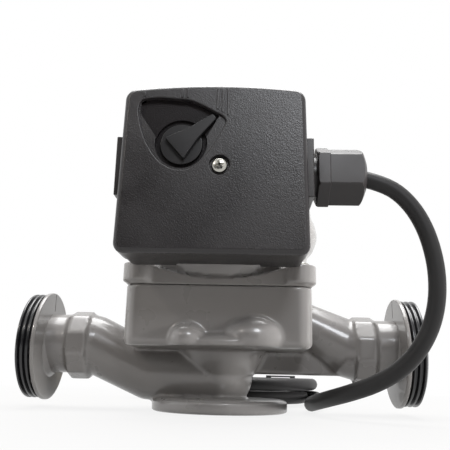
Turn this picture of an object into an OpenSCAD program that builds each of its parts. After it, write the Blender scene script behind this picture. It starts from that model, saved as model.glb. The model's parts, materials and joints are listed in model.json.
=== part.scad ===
// Wet-rotor circulation pump: cast housing, canned motor, terminal box with a speed knob, and mains lead.
// Origin: centre of the base pad, on the motor axis. X runs along the pipe, -Y faces the knob, Z is up.

/* [Ports] */
// Distance between the two port faces
port_span = 180; // [174:1:190]
// Height of the pipe axis above the base pad
axis_h = 28; // [27:0.5:31]
// Outside diameter of the port thread
thread_d = 47.8; // [47:0.1:49]
// Pitch of the port thread
thread_pitch = 2.31; // [2.1:0.01:2.4]
// Depth of the port thread
thread_depth = 1.48; // [1.2:0.01:1.6]
// Length of the threaded spigot
thread_l = 7.5; // [7.3:0.1:9]
// Diameter of the rim behind the thread
rim_d = 49.4; // [49.2:0.1:51]
// Thickness of the rim behind the thread
rim_t = 1.9; // [1.5:0.1:3]
// Diameter of the port mouth
mouth_d = 25; // [23:0.5:27]
// Depth of the port mouth
mouth_l = 9; // [8:0.5:9.3]
// Outside diameter of a neck
neck_d = 27; // [26:0.5:29]
// Height of the neck's centre above the pipe axis
neck_rise = 1.2; // [0.5:0.1:1.5]
// Bore of a neck
neck_bore = 20; // [18:0.5:20.5]
// Width of the wrench flats along the pipe
flats_w = 9; // [7:0.5:10]
// Distance of the wrench flats from the motor axis
flats_x = 61.2; // [60.5:0.1:63]

/* [Housing] */
// Side of the square housing
housing_w = 78.7; // [77:0.1:82]
// How far the housing reaches below the pipe axis
housing_drop = 0.7; // [0:0.1:1.5]
// Height of the motor joint above the pipe axis
joint_h = 24.7; // [24:0.1:28]
// Radius of the housing's lower edge
lower_edge_r = 2.4; // [1.5:0.1:3]
// Spacing of the flange screws
screw_pitch = 67; // [66:0.5:68]
// Diameter of the impeller chamber
chamber_d = 66; // [64:1:67]
// Height of the impeller chamber
chamber_h = 13; // [12.5:0.1:14]
// Thickness of the chamber floor
chamber_floor = 6.7; // [6:0.1:7.5]
// Diameter of the recess that takes the bearing plate
recess_d = 70; // [69.4:0.1:71]
// Diameter of the base pad
pad_d = 62; // [58:1:66]
// Height of the base pad
pad_h = 6; // [5:0.5:16]
// Diameter of the suction elbow under the chamber
elbow_d = 30; // [28:0.5:31]
// Bore of the suction elbow
elbow_bore = 19; // [18:0.5:20]
// Bore of the eye under the impeller
eye_d = 21; // [19:0.5:22]

/* [Impeller] */
// Diameter of the impeller
impeller_d = 56; // [52:1:58]
// Gap above and below the impeller
impeller_gap = 1; // [0.8:0.1:1.2]
// Thickness of the front shroud
shroud_t = 1.5; // [1:0.1:1.8]
// Height of the vanes
vane_h = 6; // [5:0.1:6.5]
// Thickness of a vane
vane_t = 1.6; // [1.2:0.1:2.2]
// Thickness of the back shroud
back_t = 2; // [1.5:0.1:2.2]
// Outside diameter of the impeller's inlet neck
inlet_d = 26; // [25:0.5:27]
// Wall of the inlet neck
inlet_wall = 2; // [1.5:0.1:2.5]
// Number of vanes
vane_n = 6; // [5:1:7]
// Thickness of the wear ring
wear_ring_t = 2; // [1.5:0.1:2.5]

/* [Rotor] */
// Diameter of the shaft
shaft_d = 8; // [7:0.5:9]
// Diameter of the rotor core
rotor_d = 42.6; // [42:0.1:42.8]
// Thickness of the seal between the can and the motor pot's end wall
can_seal_t = 10.8; // [9:0.1:12]
// Outside diameter of the can
can_d = 44.8; // [44.6:0.1:46]
// Wall of the can
can_t = 0.6; // [0.4:0.1:0.7]
// Outside diameter of the front bearing
front_bearing_d = 18; // [16:0.5:20]
// Length of the front bearing
front_bearing_l = 10; // [8:0.5:11]
// Outside diameter of the rear bearing
rear_bearing_d = 16; // [14:0.5:18]
// Length of the rear bearing
rear_bearing_l = 8; // [6:0.5:9]
// Radial running clearance of the shaft and the inlet neck
running_gap = 0.06; // [0.03:0.01:0.1]
// Thickness of the bearing plate
plate_t = 1.2; // [0.8:0.1:1.5]
// Thickness of the housing gasket
gasket_t = 2; // [1.5:0.1:2.2]

/* [Motor] */
// Height of the motor flange above the joint
flange_h = 9.3; // [8.5:0.1:10]
// Height of the motor flange in the middle of a side
flange_low_h = 3.1; // [2.5:0.1:4]
// Clear width between the corner posts of the motor flange
post_gap = 62; // [58:1:64]
// Radius of a flange ear round its screw
ear_r = 7.8; // [7:0.1:8.5]
// Greatest diameter of the motor pot
pot_d = 90.4; // [88:0.1:94]
// Height of the motor pot above the flange
pot_h = 68; // [67:1:76]
// Wall of the motor pot at its greatest diameter
pot_wall = 8.2; // [8:0.1:9]
// How much shorter the stator is than the rotor core
stator_short = 2; // [0:0.5:4]
// Height of an end winding
winding_h = 8; // [6:0.5:9]
// Number of stator slots
slot_n = 12; // [9:3:18]
// Thickness of the motor pot's end wall
end_wall = 12; // [9:0.5:13]
// Diameter of the vent screw's head
vent_d = 20; // [18:0.5:24]
// Diameter of the vent screw's thread
vent_thread_d = 14; // [12:0.5:15]
// Diameter of the blank name plate
nameplate_d = 58; // [50:1:60]
// Diameter of a flange screw
screw_d = 6; // [5:0.5:6]
// Diameter of a flange screw's head
screw_head_d = 10; // [9:0.5:10]

/* [Terminal box] */
// Width of the box at its foot
box_w = 73.7; // [72:0.1:76]
// Width of the box at its upper corners
box_top_w = 70.9; // [69:0.1:72]
// Height of the box at its corners
box_h = 65.8; // [64:0.1:68]
// Rise of the arched top
box_arch = 2.2; // [1.5:0.1:3]
// Sideways place of the box's middle
box_x = -1.5; // [-2:0.1:0]
// Height of the box's foot above the motor joint
box_lift = 6.7; // [6:0.1:8]
// Corner radius of the box
box_r = 4; // [3:0.1:6]
// Rounding of the cover's front edge
cover_edge = 2.4; // [1.5:0.1:3]
// How far the motor pot's widest part reaches past the box's back
pot_sink = 2.7; // [2:0.1:3]
// Gap between the motor flange and the box's back
flange_gap = 3.15; // [2.5:0.05:4]
// Depth of the cover
cover_depth = 15.5; // [15:0.1:17]
// Depth of the box base
base_depth = 14.3; // [13.5:0.1:14.5]
// Wall of the box
box_wall = 2.2; // [1.8:0.1:2.5]
// Size of a square entry plate
entry_plate = 26; // [24:0.5:27]
// Distance of an entry plate's face from the box's middle
entry_reach = 40.6; // [39.5:0.1:42]
// Height of the cable entry above the box's foot, as a share of the box's height
entry_share = 0.5471; // [0.52:0.0001:0.58]

/* [Knob] */
// Sideways place of the knob from the box's middle
knob_x = -12.8; // [-14:0.1:-12]
// Height of the knob above the box's foot, as a share of the box's height
knob_share = 0.6611; // [0.64:0.0001:0.68]
// Diameter of the knob's disc
knob_d = 17.2; // [16:0.1:18]
// Reach of the knob's pointer
pointer_l = 17; // [15:0.1:18]
// Angle of the pointer at rest, from the right
pointer_angle = 41; // [35:1:45]
// Depth of the knob's well
well_depth = 4; // [3.5:0.1:4.5]
// Depth of the pointer's pocket
pocket_depth = 2.4; // [2.2:0.1:2.8]
// Diameter of the knob's stem
stem_d = 7; // [6:0.1:8]
// Diameter of the cover screw's recess
cover_recess_d = 8; // [7:0.1:9]
// Diameter of the cover screw's head
cover_head_d = 6; // [5:0.1:6.5]

/* [Gland and lead] */
// Diameter of the mains lead
lead_d = 6.8; // [6.4:0.1:7]
// Distance across the flats of the gland nut
nut_af = 22.2; // [21:0.1:24]
// Length of the gland nut's hexagon
nut_l = 15.4; // [14:0.1:17]
// Length of the gland nut's dome
dome_l = 3.8; // [3:0.1:5]
// Diameter of the gland's thread
gland_thread_d = 16; // [15:0.5:17]
// Depth of the gland behind the box's middle of the cover joint
gland_back = 2.8; // [2:0.1:3.5]
// Length of the moulded plug
plug_l = 30; // [26:1:32]
// Width of the moulded plug
plug_w = 34; // [30:1:36]

/* [Hidden] */
fine = 64;
hull_fine = 32;
overrun = 1;

// Heights, all from the base pad
housing_z = axis_h - housing_drop;
joint_z = axis_h + joint_h;
chamber_z = housing_z + chamber_floor;
plate_z = chamber_z + chamber_h;
can_flange_z = plate_z + plate_t;
gasket_z = can_flange_z + can_t;
spigot_z = gasket_z + gasket_t;
flange_z = joint_z + flange_h;
pot_top_z = flange_z + pot_h;
pot_cavity_top = pot_top_z - end_wall;
corner_r = (housing_w - screw_pitch) / 2;

// Rotor line
inlet_l = chamber_floor / 2;
shroud_z = chamber_z + impeller_gap;
back_z = shroud_z + shroud_t + vane_h;
impeller_top = plate_z - impeller_gap;
bearing_lip = impeller_gap / 2;
front_bearing_z = plate_z - bearing_lip;
thrust_gap = running_gap * 5;
thrust_z = front_bearing_z + front_bearing_l + thrust_gap;
thrust_t = shaft_d * 0.4;
rotor_z = thrust_z + thrust_t;
can_top_z = pot_cavity_top - can_seal_t;
rear_bearing_z = can_top_z - shaft_d / 4 - rear_bearing_l;
rotor_l = rear_bearing_z - thrust_t - rotor_z;
shaft_z = back_z - vane_h / 2;
shaft_top = rear_bearing_z + rear_bearing_l;
bearing_bore = shaft_d + 2 * running_gap;
hub_d = shaft_d * 1.8;

// Motor
stator_z = flange_z;
stator_d = pot_d - 2 * pot_wall;
stator_l = rotor_l - stator_short;
stator_ledge = 2;
pot_bottom_d = stator_d - 2 * stator_ledge;
joint_ledge = 4;
spigot_bore = pot_bottom_d - 2 * joint_ledge;
winding_in = can_d / 2 + can_t * 2;
winding_out = pot_bottom_d / 2 - can_t * 2;
slot_w = 4;
slot_l = (stator_d - can_d) / 2 * 0.6164;
winding_bulge = (pot_bottom_d - can_d - 2 * can_t - 2 * slot_l) * 2 / 3;
ledge_t = 1.2;
dip_rise = flange_h - flange_low_h;
dip_r = (pow(post_gap / 2, 2) + pow(dip_rise, 2)) / (2 * dip_rise);
screw_head_h = screw_d;
screw_stand = 1.2;
screw_seat_z = flange_z + screw_stand - screw_head_h;
tap_l = 13;
nameplate_t = 0.4;
vent_head_h = 3;
// Outline of the pot from the flange up, as shares of its greatest radius and of its height
pot_shares = [[0.87, 0], [0.897, 0.138], [0.951, 0.182], [0.98, 0.226], [1, 0.272], [1, 0.302],
    [0.982, 0.36], [0.951, 0.404], [0.938, 0.45], [0.92, 0.56], [0.905, 0.8], [0.89, 0.9],
    [0.86, 0.95], [0.81, 0.985], [0.75, 1]];

// Terminal box
box_z = joint_z + box_lift;
box_top_z = box_z + box_h;
back_y = -max(pot_d / 2 - pot_sink, housing_w / 2 + flange_gap);
joint_y = back_y - base_depth;
face_y = cover_depth - joint_y;
pad_reach = 5;
pad_y = back_y - pad_reach;
cavity_y = pad_y - box_wall;
entry_z = box_z + box_h * entry_share;
entry_y = joint_y + gland_back;
knob_cx = box_x + knob_x;
knob_z = box_z + box_h * knob_share;
knob_r = knob_d / 2;
well_gap = 0.8;
well_r = knob_r + well_gap;
well_y = -face_y + well_depth;
knob_back_gap = 0.3;
knob_sink = 0.3;
knob_front_y = -face_y + knob_sink;
knob_disc_y = well_y - knob_back_gap;
switch_gap = 1.6;
switch_y = well_y + box_wall + switch_gap;
spindle_d = stem_d * 0.6;
cover_screw_side = 2.4;
cover_screw_x = box_x + cover_screw_side;
cover_screw_z = box_z + box_h * 0.523;
pillar_r = 3.6;
cover_screw_d = 3;
seal_t = 0.8;
seal_w = box_wall / 2;
pad_w = 26;
pad_z0 = box_z + box_h * 0.33;
pad_z1 = box_z + box_h * 0.82;
box_screw_x = 8.5;
box_screw_z = [box_z + box_h * 0.41, box_z + box_h * 0.68];
box_screw_d = 4;
earth_x = -8.5;
earth_z = box_screw_z[0];
grommet_x = -8;
grommet_z = box_z + box_h * 0.58;
grommet_r = 4;
block_w = 34;
block_h = box_h * 0.243;
block_t = 11;
block_x = 2;
block_z = box_z + box_h * 0.076;
capacitor_size = [26, 12, box_h * 0.182];
capacitor_x = 4;
capacitor_z = box_z + box_h * 0.76;
switch_size = [20, 10, box_h * 0.304];
entry_t = 4.6;

// Gland
nut_r = nut_af / sqrt(3);
nut_turn = -1;
entry_face_x = box_x + entry_reach;
collar_t = 1;
nut_x = entry_face_x + collar_t;
nut_end_x = nut_x + nut_l;
dome_x = nut_end_x + dome_l;
seal_x = nut_x + nut_l * 0.3;
lead_x = nut_x + nut_l * 0.64;
seal_wall = 1;
seal_r = gland_thread_d / 2 - seal_wall;
locknut_t = 3.4;
tail_x = 25;
lead_r = lead_d / 2;
core_d = 2;

// Coil of the lead: two layers, wound inwards below and outwards above
coil_x = 8;
coil_y = 88;
coil_turns = 2.125;
coil_clear = 0.5;
coil_step = lead_d + coil_clear;
coil_mid_r = lead_d * 5.5;
coil_r = coil_mid_r + coil_turns * coil_step / 2;
coil_rings = 24;
coil_sides = 6;
tie_w = 3.6;
tie_t = 1;
tie_gap = 0.3;
coil_z = lead_r + tie_t + tie_gap;
coil_top_z = coil_z + coil_step;
climb_turns = 0.5;

// Free stretch of the lead, from the gland to the coil on the floor
route = [
    [lead_x, entry_y, entry_z], [lead_x + lead_r / 2, entry_y, entry_z], [60, entry_y, 94.4],
    [70, entry_y, 90.5], [77, entry_y, 83.8], [81.8, entry_y, 75], [84.6, entry_y, 65], [85.6, entry_y, 55],
    [84.9, -53.6, 45], [82.3, -52.6, 35.5], [77.4, -51, 26.6],
    [70.6, -48.2, 19.4], [62.4, -43.4, 14.2], [54.2, -36, 10.6], [47.8, -26, 8], [43.8, -14, 6],
    [42.6, -1, 4.6], [43.2, 12, 3.8], [45.4, 26, lead_r], [48.4, 42, lead_r], [51.2, 58, lead_r],
    [52.8, 71, 4], [coil_x + coil_r, coil_y - 2 * lead_r, coil_z], [coil_x + coil_r, coil_y - lead_r, coil_z]
];

// Plug
plug_t = 2 * coil_top_z;
relief_l = 22;
relief_wall = 1.4;
pin_l = 17;
pin_w = 6.3;
pin_t = 1.6;
pin_spread = 13.7;

// Shapes that repeat

module front_plate(y0, y1) {
    translate([0, y1, 0]) rotate([90, 0, 0]) linear_extrude(y1 - y0) children();
}

module rod_z(d, z0, z1) {
    translate([0, 0, z0]) cylinder(d = d, h = z1 - z0, $fn = fine);
}

module rod_y(d, x, z, y0, y1) {
    translate([x, y1, z]) rotate([90, 0, 0]) cylinder(d = d, h = y1 - y0, $fn = fine);
}

module rod_x(d, x0, x1, y, z) {
    translate([x0, y, z]) rotate([0, 90, 0]) cylinder(d = d, h = x1 - x0, $fn = fine);
}

module ring_z(d_out, d_in, z0, z1) {
    difference() {
        rod_z(d_out, z0, z1);
        rod_z(d_in, z0 - overrun, z1 + overrun);
    }
}

// A tapered rod from one point of the XZ plane to another, with a ball at each end
module limb(p0, p1, d0, d1) {
    run = p1[0] - p0[0];
    rise = p1[1] - p0[1];
    translate([p0[0], 0, p0[1]]) rotate([0, atan2(run, rise), 0])
        cylinder(d1 = d0, d2 = d1, h = norm([run, rise]), $fn = fine);
    translate([p0[0], 0, p0[1]]) sphere(d = d0 * ball_share, $fn = fine);
    translate([p1[0], 0, p1[1]]) sphere(d = d1 * ball_share, $fn = fine);
}

module rounded_square(w, r) {
    square([w - 2 * r, w], center = true);
    square([w, w - 2 * r], center = true);
    for (x = [-1, 1], y = [-1, 1]) translate([x * (w / 2 - r), y * (w / 2 - r)]) circle(r = r, $fn = fine);
}

module at_screws() {
    for (x = [-1, 1], y = [-1, 1]) translate([x * screw_pitch / 2, y * screw_pitch / 2, 0]) children();
}

function arc(cx, cy, r, a0, a1, n) = [for (i = [0 : n]) let (a = a0 + (a1 - a0) * i / n)
    [cx + r * cos(a), cy + r * sin(a)]];

// Outline of the terminal box seen from the front, drawn in by an inset
module box_outline(inset = 0) {
    foot = box_w / 2 - inset;
    top = box_top_w / 2 - inset;
    r = max(box_r - inset, box_r / 4);
    arch_r = (pow(box_top_w / 2, 2) + pow(box_arch, 2)) / (2 * box_arch);
    arch_half = asin((top - r) / arch_r);
    arch_z = box_top_z + box_arch - arch_r;
    z0 = box_z + inset;
    z1 = box_top_z - inset;
    n = 8;
    translate([box_x, 0]) polygon(concat(
        arc(-foot + r, z0 + r, r, 180, 270, n), arc(foot - r, z0 + r, r, 270, 360, n),
        arc(top - r, z1 - r, r, 0, 90 - arch_half, n),
        arc(0, arch_z, arch_r - inset, 90 - arch_half, 90 + arch_half, 2 * n),
        arc(-top + r, z1 - r, r, 90 + arch_half, 180, n)));
}

// A tube swept along points, with the ring directions taken from the neighbouring points
function unit(v) = v / norm(v);
function heading(p, i) = unit(p[min(i + 1, len(p) - 1)] - p[max(i - 1, 0)]);
function side_of(t, s) = unit(s - t * (s * t));
function sides_along(p, s, i = 0) = i >= len(p) ? [] :
    let (here = side_of(heading(p, i), s)) concat([here], sides_along(p, here, i + 1));
module swept_tube(p, d, n, first_side) {
    side = sides_along(p, first_side);
    points = [for (i = [0 : len(p) - 1], k = [0 : n - 1])
        let (t = heading(p, i), up = cross(t, side[i]), a = 360 * k / n)
        p[i] + (side[i] * cos(a) + up * sin(a)) * d / 2];
    walls = [for (i = [0 : len(p) - 2], k = [0 : n - 1])
        let (a = i * n + k, b = i * n + (k + 1) % n) each [[a, a + n, b], [b, a + n, b + n]]];
    last = (len(p) - 1) * n;
    caps = [for (k = [1 : n - 2]) each [[0, k, k + 1], [last, last + k + 1, last + k]]];
    polyhedron(points = points, faces = concat(walls, caps));
}

// Pump side

module thread_profile() {
    r = thread_d / 2;
    root = r - thread_depth;
    flank = thread_pitch * 0.28;
    flat = thread_pitch * 0.3;
    crests = floor(thread_l / thread_pitch);
    start = flank;
    polygon(concat([[0, 0], [root, 0]], [for (i = [0 : crests - 1])
        let (z = i * thread_pitch + start / 2)
        each [[root, z], [r, z + flank], [r, z + flank + flat], [root, z + 2 * flank + flat]]],
        [[root, thread_l], [0, thread_l]]));
}

// One port, drawn on the right side with its face at half the span
module port_outside() {
    face = port_span / 2;
    translate([face, 0, axis_h]) rotate([0, -90, 0]) rotate_extrude($fn = fine) thread_profile();
    rod_x(rim_d, face - thread_l - rim_t, face - thread_l, 0, axis_h);
    rod_x(neck_d, neck_end_x, face - thread_l - rim_t / 2, 0, axis_h + neck_rise);
    translate([flats_x, 0, axis_h + neck_rise / 2]) rotate([0, 90, 0])
        cylinder(r = neck_d * 0.585, h = flats_w, $fn = 10);
}

module port_inside() {
    face = port_span / 2;
    throat = face - mouth_l;
    rod_x(mouth_d, throat, face + overrun, 0, axis_h);
    translate([throat - neck_bore / 4, 0, axis_h]) rotate([0, 90, 0])
        cylinder(d1 = neck_bore, d2 = mouth_d, h = neck_bore / 4, $fn = fine);
    rod_x(neck_bore, neck_end_x, throat - neck_bore / 4, 0, axis_h);
}

root_gap = 1.2;
neck_end_x = flats_x - root_gap;
under_lift = 1;
elbow_z = elbow_d / 2 + under_lift;
elbow_x = neck_end_x * 0.55;
// The bore of the elbow runs a little higher than its outside
bore_z = elbow_z + under_lift;
bulge_r = 14;
bulge_l = 30;
bulge_x = 4;
bulge_rise = 4.5;
outlet_z = chamber_z + chamber_h / 2;
// A bent length of the channel is this much narrower than the straight one it joins
inner_share = 0.98;
// The ball at the end of a bent length covers the rim of its taper
ball_share = 1.01;

// The rounded swelling on the front and back of the housing, with a shallow hollow between its lobes
module bulge() {
    n = 24;
    translate([bulge_x, 0, axis_h + bulge_rise]) rotate([0, 90, 0]) rotate_extrude($fn = fine)
        polygon([for (i = [0 : n]) let (a = 180 * i / n) [bulge_r * sin(a), -bulge_l * cos(a)]]);
}

module pump_housing() {
    bulge_y = housing_w / 2 - bulge_r * 0.56;
    web_t = 5;
    web_z = axis_h - neck_d / 2 + neck_rise * 2;
    elbow_top = housing_z + lower_edge_r;
    bend_d = elbow_d * 0.84;
    color("gray") difference() {
        union() {
            hull() {
                translate([0, 0, housing_z]) linear_extrude(lower_edge_r / 8)
                    rounded_square(housing_w - 2 * lower_edge_r, corner_r);
                translate([0, 0, housing_z + lower_edge_r * 0.3]) linear_extrude(lower_edge_r / 8)
                    rounded_square(housing_w - lower_edge_r / 2, corner_r);
                translate([0, 0, housing_z + lower_edge_r]) linear_extrude(lower_edge_r / 8)
                    rounded_square(housing_w, corner_r);
            }
            translate([0, 0, housing_z + lower_edge_r]) linear_extrude(joint_z - housing_z - lower_edge_r)
                rounded_square(housing_w, corner_r);
            for (s = [-1, 1]) translate([0, s * bulge_y, 0]) bulge();
            port_outside();
            mirror([1, 0, 0]) port_outside();
            limb([-neck_end_x, axis_h + neck_rise], [-elbow_x, bore_z],
                neck_d * inner_share, bend_d * inner_share);
            limb([-elbow_x, bore_z], [0, elbow_z], bend_d, elbow_d);
            translate([0, 0, elbow_z])
                cylinder(d1 = elbow_d, d2 = elbow_d * 1.5, h = elbow_top - elbow_z, $fn = fine);
            limb([neck_end_x, axis_h + neck_rise], [housing_w / 2, outlet_z],
                neck_d * inner_share, chamber_h + chamber_floor);
            translate([elbow_d / 4, -web_t / 2, web_z])
                cube([neck_end_x - elbow_d / 4, web_t, elbow_top - web_z]);
            cylinder(d1 = pad_d - pad_h / 5, d2 = pad_d, h = pad_h / 10, $fn = fine);
            rod_z(pad_d, pad_h / 10, pad_h * 0.85);
            translate([0, 0, pad_h * 0.85]) cylinder(d1 = pad_d, d2 = pad_d * 0.9, h = pad_h * 0.15, $fn = fine);
        }
        port_inside();
        mirror([1, 0, 0]) port_inside();
        limb([-neck_end_x, axis_h], [-elbow_x, bore_z], neck_bore * inner_share, elbow_bore * inner_share);
        limb([-elbow_x, bore_z], [0, bore_z], elbow_bore, elbow_bore * inner_share);
        rod_z(eye_d, bore_z, chamber_z + overrun);
        rod_z(ring_seat_d, chamber_z - inlet_l, chamber_z + overrun);
        rod_z(chamber_d, chamber_z, plate_z + overrun);
        rod_z(recess_d, plate_z, joint_z + overrun);
        limb([neck_end_x, axis_h], [chamber_d / 2 - chamber_h / 2, outlet_z],
            neck_bore * inner_share, chamber_h);
        at_screws() rod_z(screw_d, joint_z - tap_l, joint_z + overrun);
    }
}

ring_seat_d = inlet_d + 2 * running_gap + 2 * wear_ring_t;

module wear_ring() {
    color("silver") ring_z(ring_seat_d, inlet_d + 2 * running_gap, chamber_z - inlet_l, chamber_z);
}

function vane_side(r0, r1, turn, sweep, n) = [for (i = [0 : n]) let (r = r0 + (r1 - r0) * i / n,
    a = turn - sweep * i / n) [r * cos(a), r * sin(a)]];

module impeller() {
    r_in = inlet_d / 2 - inlet_wall;
    vane_in = r_in + vane_t;
    vane_out = impeller_d / 2 - vane_t / 4;
    half_in = vane_t / vane_in * 90 / PI;
    half_out = vane_t / vane_out * 90 / PI;
    sweep = 70;
    color("wheat") difference() {
        union() {
            rod_z(inlet_d, chamber_z - inlet_l + impeller_gap / 2, shroud_z + shroud_t);
            rod_z(impeller_d, shroud_z, shroud_z + shroud_t);
            rod_z(impeller_d, back_z, back_z + back_t);
            rod_z(hub_d, shroud_z + shroud_t, impeller_top);
            for (k = [0 : vane_n - 1]) rotate([0, 0, 360 * k / vane_n])
                translate([0, 0, shroud_z]) linear_extrude(back_z + back_t / 2 - shroud_z)
                    polygon(concat(vane_side(vane_in, vane_out, half_in, sweep + half_in - half_out, 10),
                        [for (i = [10 : -1 : 0]) vane_side(vane_in, vane_out, -half_in,
                            sweep - half_in + half_out, 10)[i]]));
        }
        difference() {
            rod_z(2 * r_in, chamber_z - inlet_l - overrun, back_z);
            rod_z(hub_d, chamber_z - inlet_l - 2 * overrun, back_z + overrun);
        }
        rod_z(hub_d + overrun, chamber_z - inlet_l - overrun, shroud_z + shroud_t);
        rod_z(shaft_d, shaft_z, impeller_top + overrun);
    }
}

module bearing_plate() {
    color("silver") ring_z(recess_d, front_bearing_d, plate_z, can_flange_z);
}

module front_bearing() {
    color("dimgray") ring_z(front_bearing_d, bearing_bore, front_bearing_z, front_bearing_z + front_bearing_l);
}

module thrust_ring() {
    color("dimgray") ring_z(hub_d, shaft_d, thrust_z, rotor_z);
}

module rotor_shaft() {
    color("gainsboro") rod_z(shaft_d, shaft_z, shaft_top);
}

module rotor_core() {
    bead = rotor_d / 40;
    color("silver") difference() {
        union() {
            rod_z(rotor_d, rotor_z + bead, rotor_z + rotor_l - bead);
            rod_z(rotor_d - 2 * bead, rotor_z, rotor_z + rotor_l);
        }
        rod_z(shaft_d, rotor_z - overrun, rotor_z + rotor_l + overrun);
    }
}

module rear_bearing() {
    color("dimgray") ring_z(rear_bearing_d, bearing_bore, rear_bearing_z, rear_bearing_z + rear_bearing_l);
}

module rotor_can() {
    cup_d = rear_bearing_d + 2 * can_t;
    color("silver") difference() {
        union() {
            rod_z(recess_d, can_flange_z, gasket_z);
            rod_z(can_d, can_flange_z, can_top_z);
        }
        rod_z(can_d - 2 * can_t, can_flange_z - overrun, rear_bearing_z);
        difference() {
            rod_z(can_d - 2 * can_t, rear_bearing_z - overrun, can_top_z - can_t);
            rod_z(cup_d, rear_bearing_z - 2 * overrun, can_top_z);
        }
        rod_z(rear_bearing_d, rear_bearing_z - overrun, can_top_z - can_t);
    }
}

module housing_gasket() {
    color("black") ring_z(recess_d, spigot_bore, gasket_z, spigot_z);
}

// Motor side

module stator_core() {
    bore_r = can_d / 2;
    color("slategray") difference() {
        ring_z(stator_d, can_d, stator_z, stator_z + stator_l);
        for (k = [0 : slot_n - 1]) rotate([0, 0, 360 * k / slot_n])
            translate([bore_r + can_t, -slot_w / 2, stator_z - overrun])
                cube([slot_l, slot_w, stator_l + 2 * overrun]);
    }
}

module stator_windings() {
    bore_r = can_d / 2;
    ring_out = 2 * (bore_r + can_t + slot_l);
    color("peru") {
        for (z = [stator_z - winding_h, stator_z + stator_l]) difference() {
            union() {
                rod_z(ring_out, z, z + winding_h);
                rod_z(ring_out + winding_bulge, z + winding_h / 4, z + winding_h * 3 / 4);
            }
            rod_z(2 * winding_in, z - overrun, z + winding_h + overrun);
        }
        for (k = [0 : slot_n - 1]) rotate([0, 0, 360 * k / slot_n])
            translate([winding_in, -slot_w / 2, stator_z - winding_h / 4])
                cube([slot_l - can_t, slot_w, stator_l + winding_h / 2]);
    }
}

module pot_form(grow = 0) {
    translate([0, 0, flange_z]) rotate_extrude($fn = fine)
        polygon(concat([[0, 0]], [for (s = pot_shares) [s[0] * pot_d / 2 + grow, s[1] * pot_h]], [[0, pot_h]]));
}

module motor_housing() {
    color("gray") difference() {
        union() {
            difference() {
                union() {
                    translate([0, 0, joint_z]) linear_extrude(flange_h) rounded_square(housing_w, corner_r);
                    at_screws() rod_z(2 * ear_r, joint_z + screw_stand, flange_z);
                }
                for (turn = [0, 90]) rotate([0, 0, turn])
                    translate([0, housing_w, flange_z + dip_r - dip_rise]) rotate([90, 0, 0])
                        cylinder(r = dip_r, h = 2 * housing_w, $fn = fine);
            }
            rod_z(pot_bottom_d * 1.06, joint_z, flange_z + overrun);
            rod_z(recess_d, spigot_z, joint_z + overrun);
            pot_form();
            translate([-pad_w / 2, pad_y, pad_z0]) cube([pad_w, -pad_y, pad_z1 - pad_z0]);
        }
        rod_z(spigot_bore, spigot_z - overrun, joint_z + 2 * ledge_t);
        rod_z(pot_bottom_d, joint_z + ledge_t, flange_z + overrun);
        rod_z(stator_d, flange_z, pot_cavity_top);
        rod_z(vent_thread_d, pot_cavity_top - overrun, pot_top_z + overrun);
        at_screws() {
            rod_z(screw_d, joint_z - overrun, flange_z + overrun);
            rod_z(screw_head_d + screw_stand, screw_seat_z, flange_z + overrun);
        }
        for (z = box_screw_z) rod_y(box_screw_d, box_screw_x, z, pad_y - overrun, pad_y + box_screw_d * 2);
        rod_y(box_screw_d, earth_x, earth_z, pad_y - overrun, pad_y + box_screw_d * 2);
        rod_y(grommet_r, grommet_x, grommet_z, pad_y - overrun, -stator_d / 2 + overrun);
    }
}

module cap_screw(d, head_d, head_h, l) {
    difference() {
        union() {
            cylinder(d = head_d, h = head_h * 0.92, $fn = fine);
            translate([0, 0, head_h * 0.92])
                cylinder(d1 = head_d, d2 = head_d * 0.88, h = head_h * 0.08, $fn = fine);
            translate([0, 0, -l]) cylinder(d = d, h = l + head_h / 2, $fn = fine);
        }
        translate([0, 0, head_h * 0.45]) cylinder(d = head_d * 0.58, h = head_h, $fn = 6);
    }
}

module flange_screws() {
    color("silver") at_screws() translate([0, 0, screw_seat_z])
        cap_screw(screw_d, screw_head_d, screw_head_h, screw_seat_z - joint_z + tap_l * 0.9);
}

module can_seal() {
    color("black") ring_z(vent_thread_d * 1.6, vent_thread_d, can_top_z, pot_cavity_top);
}

module vent_screw() {
    slot = vent_head_h / 2;
    head_z = pot_top_z;
    color("gold") difference() {
        union() {
            translate([0, 0, head_z]) cylinder(d = vent_d, h = vent_head_h * 0.7, $fn = fine);
            translate([0, 0, head_z + vent_head_h * 0.7])
                cylinder(d1 = vent_d, d2 = vent_d * 0.9, h = vent_head_h * 0.3, $fn = fine);
            rod_z(vent_thread_d, can_top_z, head_z + vent_head_h / 2);
        }
        translate([-vent_d, -slot / 2, head_z + vent_head_h - slot]) cube([2 * vent_d, slot, vent_head_h]);
    }
}

module nameplate() {
    color("lightgray") ring_z(nameplate_d, vent_d + vent_head_h, pot_top_z, pot_top_z + nameplate_t);
}

// Terminal box

module entry_cuts() {
    inner = entry_reach - entry_t - 2 * box_wall;
    outer = entry_reach + overrun;
    for (sx = [-1, 1]) translate([box_x + sx * (inner + outer) / 2, entry_y, entry_z])
        cube([outer - inner, entry_plate, entry_plate], center = true);
}

module entry_form() {
    translate([entry_reach - entry_t, -entry_plate / 2, -entry_plate / 2])
        cube([entry_t, entry_plate, entry_plate]);
    rib = entry_plate * 0.72;
    translate([entry_reach - overrun, -rib / 2, -rib / 2]) cube([overrun, rib, rib]);
}

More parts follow.
